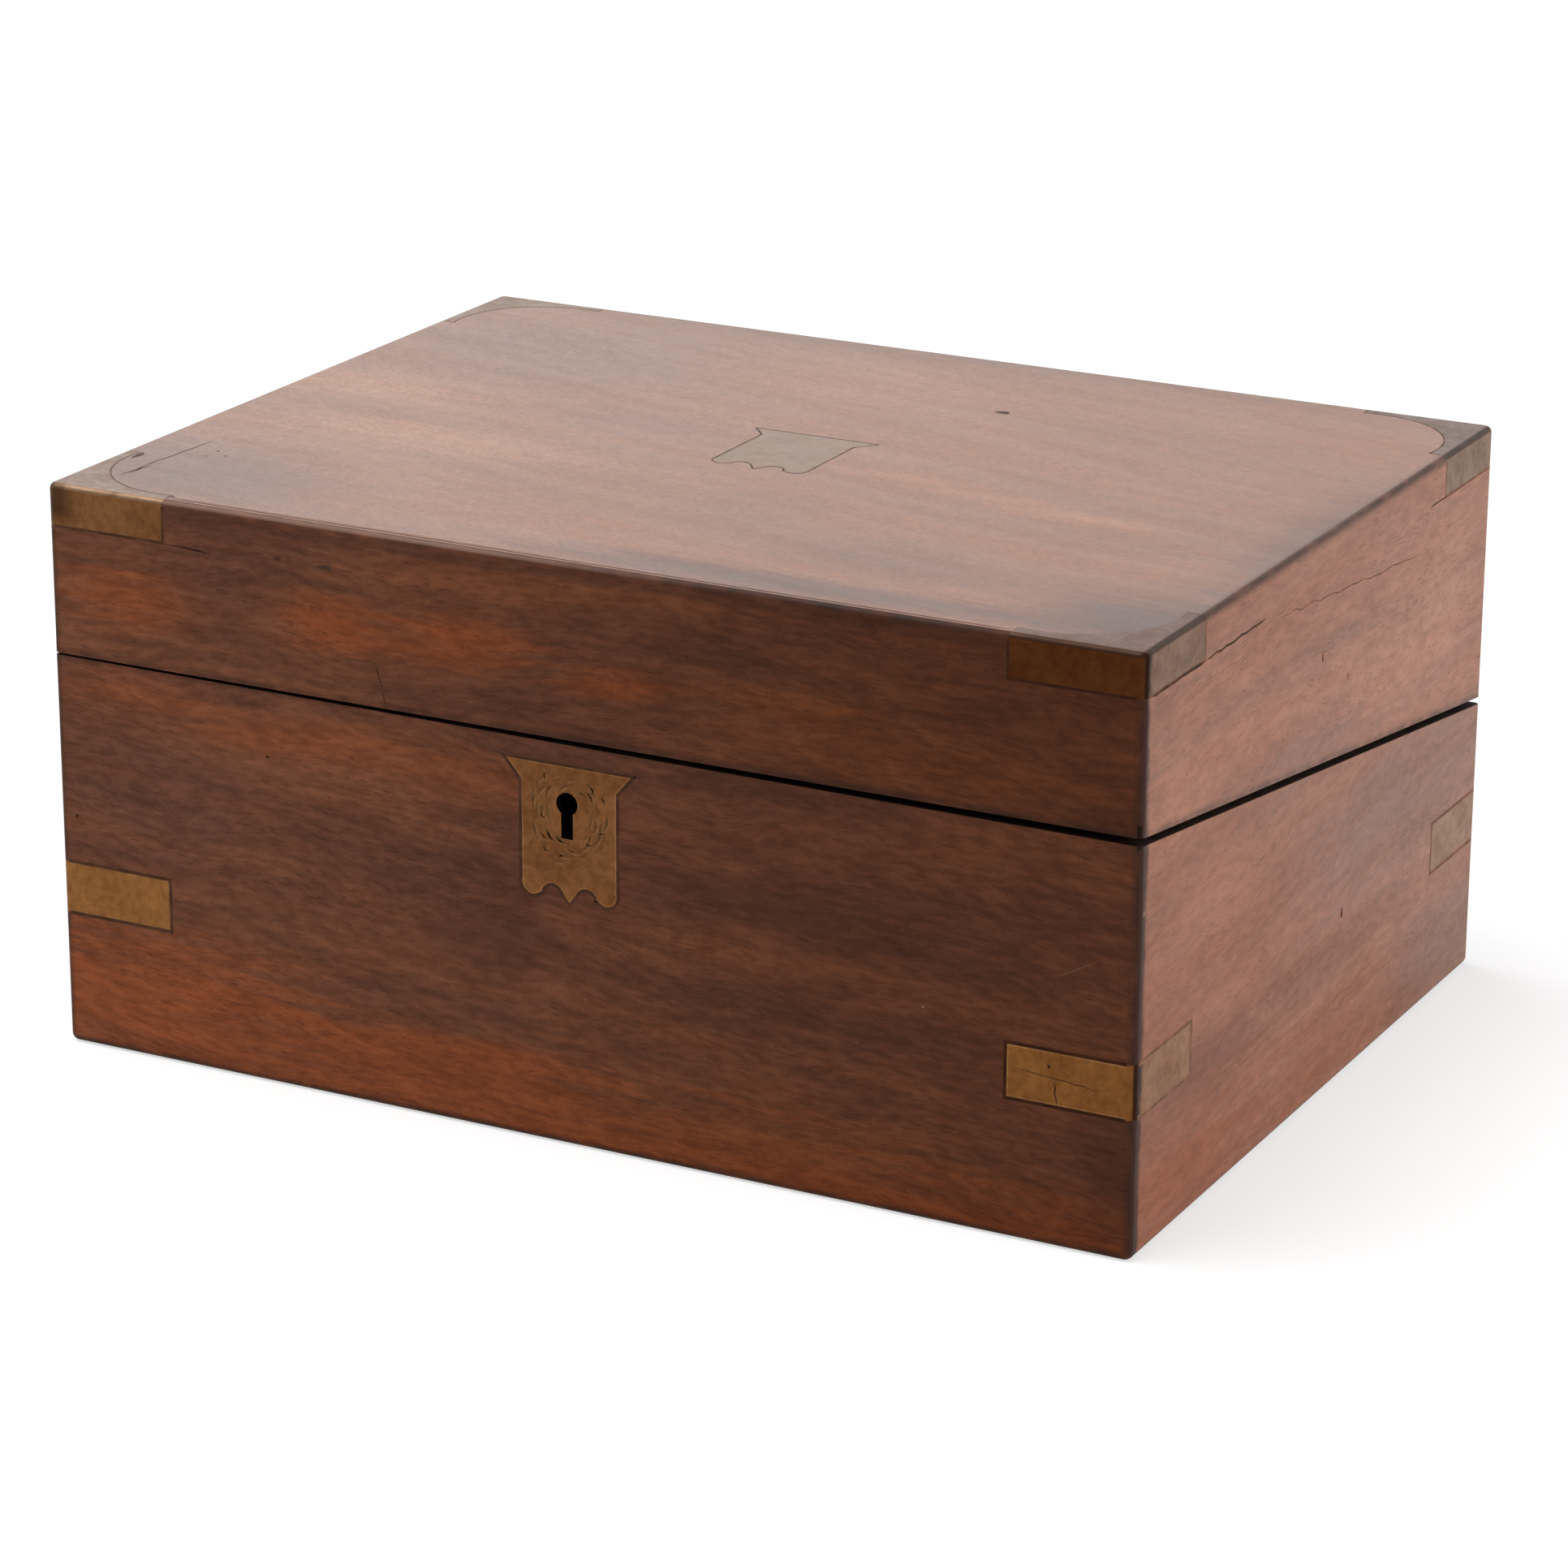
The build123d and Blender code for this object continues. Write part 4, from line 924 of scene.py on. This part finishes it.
def on_front(x, z):
    return Vector((x, -half_depth, z)) * mm


def on_right(y, z):
    return Vector((half_width, y, z)) * mm


def on_top(x, y):
    return Vector((x, y, height)) * mm


face_of = {on_front: front_face, on_right: right_face, on_top: top_face}


def wander(start, end, steps, sway, normal, seed):
    """Points from start to end that stray sideways by up to sway millimetres."""
    chance = random.Random(random_seed + seed)
    side = normal.cross(end - start).normalized() * sway * mm
    points = []
    for i in range(steps + 1):
        share = i / steps
        off = chance.uniform(-1, 1) if 0 < i < steps else 0
        points.append(start.lerp(end, share) + side * off)
    return points


def mark(name, points, width, normal, material, body, taper=0.2):
    """A thin mark along points, which thins out at its ends."""
    last = len(points) - 1
    widths = []
    for i in range(last + 1):
        share = i / last
        widths.append(width * mm * max(0.1, min(1, share / taper, (1 - share) / taper)))
    vertices, faces = line_strip(points, widths, normal)
    return add_mesh(name, vertices, faces, material, body)


def oval(name, middle, long_axis, normal, long, short, material, body):
    """A flat oval spot, a little uneven."""
    side = normal.cross(long_axis).normalized()
    lifted = middle + normal * line_lift * mm
    count = 20
    vertices = []
    for i in range(count):
        turn = 2 * math.pi * i / count
        rough = 1 + 0.12 * math.sin(3 * turn + long)
        off = long_axis * math.cos(turn) * long + side * math.sin(turn) * short
        vertices.append(lifted + off * rough * mm / 2)
    return add_mesh(name, vertices, [tuple(range(count))], material, body)


# ---------------------------------------------------------------- pieces
def plate_outlines(looks):
    """Filler lines round every plate that is let into the outside, and the plates' pale edges, partly rubbed and
    partly painted highlight.
    """
    # width of a line, and how far in from the plate's border it lies
    filler = (0.85, -0.15)
    # pale edges of the plates: partly rubbed brass, partly painted highlight
    rub = (0.35, 0.50)
    lid_filler = (0.70, 0.0)
    top_filler = (0.50, 0.0)
    sides = {"left": left_face, "right": right_face}
    ends = {"front": front_face, "rear": rear_face}
    dark = looks["dark_line"]
    for end, end_face in ends.items():
        for side, side_face in sides.items():
            corner = end + "_" + side
            strap = "base_strap_" + corner
            plate = "lid_corner_" + corner
            for face_name, face in ((end, end_face), (side, side_face)):
                soft = looks["side_line"] if face is side_face else dark
                rub_highlight = looks["side_rub_highlight"] if face is side_face else looks["front_rub_highlight"]
                outline(f"line_{strap}_{face_name}", strap, face, *filler, soft, "base")
                outline(f"rub_{strap}_{face_name}", strap, face, *rub, rub_highlight, "base")
                outline(f"line_{plate}_{face_name}", plate, face, *lid_filler, soft, "lid")
            if corner == "front_right":
                continue
            top_line = looks["top_line_dark" if corner == "rear_right" else "top_line_soft"]
            outline(f"line_{plate}_top", plate, top_face, *top_filler, top_line, "lid")
    outline("line_escutcheon", "escutcheon", front_face, *filler, dark, "base")
    outline("rub_highlight_escutcheon", "escutcheon", front_face, *rub, looks["front_rub_highlight"], "base")
    outline("line_cartouche", "lid_cartouche", top_face, *top_filler, looks["top_line_dark"], "lid")


def top_edges(looks):
    """The walls' veneer carried up over the edges of the top board, so that no joint shows."""
    limit = 0.22
    veneers = (
        ("front", front_face, "lid_front"),
        ("right", right_face, "lid_side"),
        ("left", left_face, "lid_side"),
        ("rear", rear_face, "rear"),
    )
    for side, face, look in veneers:
        facing("lipping_" + side, "lid_top", face, limit, looks[look], "lid")


def on_plate(x, z):
    """A point of the front, from the middle of the keyhole."""
    return on_front(keyhole_x + x, keyhole_z + z)


def engraved_rings(chance, cut, glint):
    """Loose rings of strokes round the keyhole, each with a painted highlight, a glint, beside it."""
    widest = 11.4
    highest = 11.2
    count = 0
    for ring, strokes in ((5.9, 6), (7.3, 8), (8.8, 10), (10.3, 11)):
        for i in range(strokes):
            turn = 2 * math.pi * (i + chance.uniform(-0.3, 0.3)) / strokes
            reach = chance.uniform(2.6, 5.2) / ring
            drift = chance.uniform(-1.3, 1.3)
            points = []
            for k in range(9):
                share = k / 8 - 0.5
                at = turn + reach * share
                radius = ring + drift * share + 1.2 * (0.25 - share * share)
                points.append((radius * math.cos(at), ring_tall * radius * math.sin(at)))
            if max(abs(x) for x, z in points) > widest or max(z for x, z in points) > highest:
                continue
            width = chance.uniform(0.60, 1.00)
            for kind, material, off in (("cut", cut, 0.0), ("glint", glint, 0.55)):
                line = [on_plate(x + off, z - off) for x, z in points]
                name = f"engraved_{kind}_{count}"
                mark(name, line, width * (1 - 0.5 * off), front_face, material, "base", 0.5)
            count += 1


def engraved_leaves(chance, cut):
    """Short bent strokes scattered over the plate, except near the keyhole."""
    bare_middle = 7.0
    for leaf in range(34):
        x = chance.uniform(-9.5, 9.5)
        z = chance.uniform(-15.0, 9.5)
        if math.hypot(x, z / ring_tall) < bare_middle:
            continue
        heading = math.atan2(z, x) + chance.choice((-0.8, 0.8)) + chance.uniform(-0.4, 0.4)
        bend = chance.uniform(-0.9, 0.9)
        length = chance.uniform(1.6, 3.0)
        line = []
        for k in range(6):
            share = k / 5 - 0.5
            aim = heading + bend * share
            way = length * share
            line.append(on_plate(x + way * math.cos(aim), z + way * math.sin(aim)))
        width = chance.uniform(0.45, 0.75)
        mark(f"engraved_leaf_{leaf}", line, width, front_face, cut, "base", 0.5)


def engraving(looks):
    """Scrolling strokes cut into the escutcheon."""
    chance = random.Random(random_seed)
    engraved_rings(chance, looks["cut_line"], looks["glint_line"])
    engraved_leaves(chance, looks["cut_line"])


def draw_cracks(cracks):
    """Cracks from rows of name, place, start, end, steps, sway, seed, width, look, body and taper."""
    for name, place, start, end, steps, sway, seed, width, look, body, taper in cracks:
        face = face_of[place]
        points = wander(place(*start), place(*end), steps, sway, face, seed)
        mark(name, points, width, face, look, body, taper)


def board_cracks(looks):
    """Cracks, patch joints and overcuts of the boards, and a painted highlight along the top's front edge, each
    where it is seen.
    """
    dark = looks["crack_line"]
    faint = looks["faint_line"]
    pale = looks["pale_line"]
    seam = seam_height
    edge = -half_depth
    draw_cracks((
        ("seam_crack_side", on_right, (-79.0, seam - 0.2), (-42, seam),
         12, 0.25, 1, 0.60, dark, "lid", 0.06),
        ("plate_shadow_side", on_right, (-110.5, seam - 0.3), (-78.6, seam - 0.2),
         12, 0.15, 14, 0.75, dark, "lid", 0.04),
        ("grain_split_side", on_right, (-40, 139.8), (68, 129.5), 26, 0.5, 2, 0.30, faint, "lid", 0.2),
        ("seam_crack_rear", on_right, (68, seam), (82, seam), 5, 0.15, 3, 0.4, dark, "lid", 0.2),
        ("seam_crack_front", on_front, (-116.5, seam - 0.2), (-103, seam - 0.8),
         8, 0.2, 4, 0.60, dark, "lid", 0.3),
        ("top_edge_line", on_top, (-117, edge + 2.3), (117, edge + 2.3),
         60, 0.12, 10, 0.45, dark, "lid", 0.02),
        # painted highlight along the top's rounded front edge
        ("top_edge_glint", on_top, (-117, edge + 3.2), (-5, edge + 3.3),
         40, 0.15, 13, 0.45, pale, "lid", 0.1),
        ("overcut_left", on_front, (-18.6, 100.8), (-21.6, 101.6), 4, 0.1, 11, 0.6, faint, "base", 0.4),
        ("overcut_right", on_front, (17.8, 100.6), (19.8, 100.9), 4, 0.1, 12, 0.7, faint, "base", 0.4),
        ("patch_joint", on_front, (-55.3, 119.0), (-52.2, 107.4), 5, 0.1, 5, 0.32, dark, "lid", 0.05),
        ("patch_joint_top", on_front, (-66, 118.6), (-55.3, 119.0), 5, 0.15, 6, 0.25, faint, "lid", 0.2),
        ("top_crack", on_top, (-139.6, -95), (-137.0, -60), 12, 0.25, 7, 0.35, dark, "lid", 0.2),
        ("top_crack_start", on_top, (-139.8, -99.4), (-137.8, -88.0), 6, 0.2, 15, 0.75, dark, "lid", 0.4),
    ))


def strap_marks(looks):
    """A curled scratch and two cracks by the strap at the front right."""
    dark = looks["crack_line"]
    curl = [on_front(x, z) for x, z in ((130.6, 69.4), (134, 70.6), (138, 72.9), (143.3, 75.8))]
    mark("front_scratch", curl, 0.22, front_face, looks["pale_line"], "base", 0.6)
    draw_cracks((
        ("strap_crack", on_front, (131.6, 42.8), (132.4, 36.8), 4, 0.2, 8, 0.35, dark, "base", 0.2),
        ("strap_crack_long", on_front, (121, 44.5), (144, 42.6), 10, 0.35, 9, 0.22, dark, "base", 0.2),
    ))


def knocks_and_spots(looks):
    """Small ovals of damage, each where it is seen."""
    dark = looks["crack_line"]
    faint = looks["faint_line"]
    pale = looks["pale_line"]
    grey = looks["top_line_dark"]
    edge = -half_depth
    along = Vector((1, 0, 0))
    inward = Vector((0, 1, 0))
    upright = Vector((0, 0, 1))
    # name, place, middle, direction, length, width, look, body
    spots = (
        ("top_spot", on_top, (32.4, 63.4), along, 4.2, 2.6, grey, "lid"),
        ("arris_nick", on_right, (edge + 2.7, 88), upright, 1.5, 0.9, pale, "base"),
        ("strap_dot", on_front, (130.2, 46.4), along, 0.9, 0.9, dark, "base"),
        ("front_knot_a", on_front, (-82.2, 141.9), along, 4.2, 1.3, faint, "lid"),
        ("front_knot_b", on_front, (-69.4, 141.5), along, 4.6, 1.1, faint, "lid"),
        ("top_knock", on_top, (-146.2, -81.8), inward, 5.6, 1.5, grey, "lid"),
        ("top_edge_dot", on_top, (-116.9, -110.5), along, 2.2, 1.4, grey, "lid"),
        ("top_speck_0", on_top, (-130.4, -74.2), along, 1.0, 0.8, grey, "lid"),
        ("top_speck_1", on_top, (-130.2, -68.8), along, 1.0, 0.8, grey, "lid"),
        ("top_speck_2", on_top, (-126.0, -71.9), along, 1.0, 0.8, grey, "lid"),
        ("front_speck", on_front, (96.8, 55.4), along, 0.7, 0.6, pale, "base"),
        ("side_dent_a", on_right, (-3.7, 120.7), upright, 3.0, 1.1, faint, "lid"),
        ("side_dent_b", on_right, (14.2, 110.7), upright, 1.8, 0.8, faint, "lid"),
        ("side_dent_c", on_right, (16.6, 46.3), upright, 3.0, 1.2, dark, "base"),
        ("front_dot_a", on_front, (-147.0, 63.5), along, 1.0, 0.8, dark, "base"),
        ("front_dot_b", on_front, (-87.8, 89.0), along, 1.4, 0.7, dark, "base"),
    )
    for name, place, middle, axis, long, short, look, body in spots:
        oval(name, place(*middle), axis, face_of[place], long, short, look, body)


def tooling(material):
    """A plain double line tooled round each leather."""
    for body in ("base_flap", "lid_flap"):
        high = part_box(body + "_leather")[1]
        outward = Vector((0, catch_axis[1], catch_axis[2]))
        if body == "lid_flap":
            outward = -outward
        mesh = frame["nodes"][body + "_leather"].data
        reach = max(vertex.co.dot(outward) for vertex in mesh.vertices)
        down = Vector((0, -catch_axis[2], catch_axis[1]))
        flat = [vertex.co for vertex in mesh.vertices if reach - vertex.co.dot(outward) < touch * mm]
        near = min(point.dot(down) for point in flat)
        far = max(point.dot(down) for point in flat)
        for k, (inset, width) in enumerate(((4.0, 0.7), (6.0, 0.35))):
            x = high.x - inset * mm
            a = near + inset * mm
            b = far - inset * mm
            corners = [(-x, a), (x, a), (x, b), (-x, b), (-x, a)]
            for i in range(4):
                ends = [Vector((px, 0, 0)) + down * pd + outward * reach for px, pd in corners[i:i + 2]]
                vertices, faces = line_strip(ends, [width * mm] * 2, outward)
                add_mesh(f"tooling_{body}_{k}_{i}", vertices, faces, material, body)


def ink_in(side, material):
    """A low pool of dried ink in a bottle, with its edge drawn up the glass."""
    low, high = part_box("inkwell_" + side)
    middle_x = (low.x + high.x) / 2
    middle_y = (low.y + high.y) / 2
    floor = low.z / mm + inkwell_floor
    profile = [(0.0, 0.02), (12.4, 0.02), (12.4, 6.2), (11.6, 5.2), (9.5, 4.8), (0.0, 4.7)]
    count = 40
    vertices = []
    faces = []
    for radius, rise in profile:
        for i in range(count):
            turn = 2 * math.pi * i / count
            x = middle_x + radius * math.cos(turn) * mm
            y = middle_y + radius * math.sin(turn) * mm
            vertices.append((x, y, (floor + rise) * mm))
    for start in range(0, count * (len(profile) - 1), count):
        for i in range(count):
            j = (i + 1) % count
            faces.append((start + i, start + j, start + count + j, start + count + i))
    pool = add_mesh("ink_" + side, vertices, faces, material, "base")
    shape = bmesh.new()
    shape.from_mesh(pool.data)
    bmesh.ops.remove_doubles(shape, verts=shape.verts, dist=0.001 * mm)
    bmesh.ops.recalc_face_normals(shape, faces=shape.faces)
    shape.to_mesh(pool.data)
    shape.free()


# ---------------------------------------------------------------- stage, lamps and camera
def make_floor():
    """A plain white floor that keeps the object's soft shadow."""
    mesh = bpy.data.meshes.new("floor")
    reach = 8.0
    drop = -0.1 * mm
    corners = [(-reach, -reach, drop), (reach, -reach, drop), (reach, reach, drop), (-reach, reach, drop)]
    mesh.from_pydata(corners, [], [(0, 1, 2, 3)])
    material = bpy.data.materials.new("floor_white")
    material.use_nodes = True
    graph = Graph(material.node_tree)
    graph.tree.nodes.clear()
    seen_glow = graph.times(graph.only_for(*seen_rays), floor_glow)
    glow = graph.math("MULTIPLY_ADD", graph.only_for("Is Camera Ray"), floor_glow_seen, seen_glow)
    paper = graph.add("ShaderNodeBsdfDiffuse", {"Color": paper_grey})
    light = graph.add("ShaderNodeEmission", {"Strength": glow})
    total = graph.add("ShaderNodeAddShader", {0: paper.outputs[0], 1: light.outputs[0]})
    graph.add("ShaderNodeOutputMaterial", {"Surface": total.outputs[0]})
    mesh.materials.append(material)
    floor = bpy.data.objects.new("floor", mesh)
    bpy.context.scene.collection.objects.link(floor)


def make_world():
    """White all round where it is seen, and a dim even light on surfaces."""
    world = bpy.data.worlds.new("studio")
    world.use_nodes = True
    bpy.context.scene.world = world
    graph = Graph(world.node_tree)
    levels = {"Value": graph.only_for(*seen_rays), "To Min": ambient, "To Max": 1.0}
    level = graph.add("ShaderNodeMapRange", levels)
    back = graph.tree.nodes["Background"].inputs
    graph.feed(back["Color"], world_white)
    graph.feed(back["Strength"], level.outputs["Result"])


def add_lamp(name, azimuth, elevation, strength, spread, mirrored=True):
    """A broad soft lamp far away; azimuth 0 is in front and 90 to the right.

    A lamp that isn't mirrored lights the box but leaves no glare on its polish.
    """
    data = bpy.data.lights.new(name, "SUN")
    data.energy = strength
    data.angle = math.radians(spread)
    lamp = bpy.data.objects.new(name, data)
    lamp.visible_glossy = mirrored
    a = math.radians(azimuth)
    e = math.radians(elevation)
    towards = Vector((math.sin(a) * math.cos(e), -math.cos(a) * math.cos(e), math.sin(e)))
    lamp.rotation_mode = "QUATERNION"
    lamp.rotation_quaternion = towards.to_track_quat("Z", "Y")
    bpy.context.scene.collection.objects.link(lamp)


def make_camera():
    """The photograph's viewpoint, from a fit to the corners of the box."""
    azimuth = math.radians(27.362)
    elevation = math.radians(18.994)
    roll = math.radians(0.284)
    box_width = 2 * half_width * mm
    distance = 4.5775 * box_width
    aside = -0.000492 * box_width
    upward = -0.045752 * box_width
    image_width = 1932
    focal_pixels = 6503.4
    back = Vector((
        math.sin(azimuth) * math.cos(elevation),
        -math.cos(azimuth) * math.cos(elevation),
        math.sin(elevation),
    ))
    level_right = (-back).cross(Vector((0, 0, 1))).normalized()
    level_up = level_right.cross(-back)
    right = level_right * math.cos(roll) + level_up * math.sin(roll)
    up = level_up * math.cos(roll) - level_right * math.sin(roll)
    place = back * distance + right * aside + up * upward + Vector((0, 0, height * mm / 2))
    data = bpy.data.cameras.new("camera")
    data.sensor_fit = "HORIZONTAL"
    data.angle = 2 * math.atan(image_width / 2 / focal_pixels)
    camera = bpy.data.objects.new("camera", data)
    bpy.context.scene.collection.objects.link(camera)
    camera.matrix_world = Matrix.Translation(place) @ Matrix((right, up, back)).transposed().to_4x4()
    bpy.context.scene.camera = camera


def main():
    bpy.context.scene.view_settings.view_transform = "Standard"
    looks = make_looks()
    dress(looks)
    plate_outlines(looks)
    top_edges(looks)
    engraving(looks)
    board_cracks(looks)
    strap_marks(looks)
    knocks_and_spots(looks)
    tooling(brass("gilt_tooling", gilt, 0.5, 0.3))
    dried = ink()
    for side in ("left", "right"):
        ink_in(side, dried)
    make_floor()
    make_world()
    add_lamp("right_window", azimuth=84, elevation=15, strength=2.6, spread=40, mirrored=False)
    add_lamp("high_left", azimuth=-70, elevation=68, strength=2.45, spread=45)
    make_camera()


main()
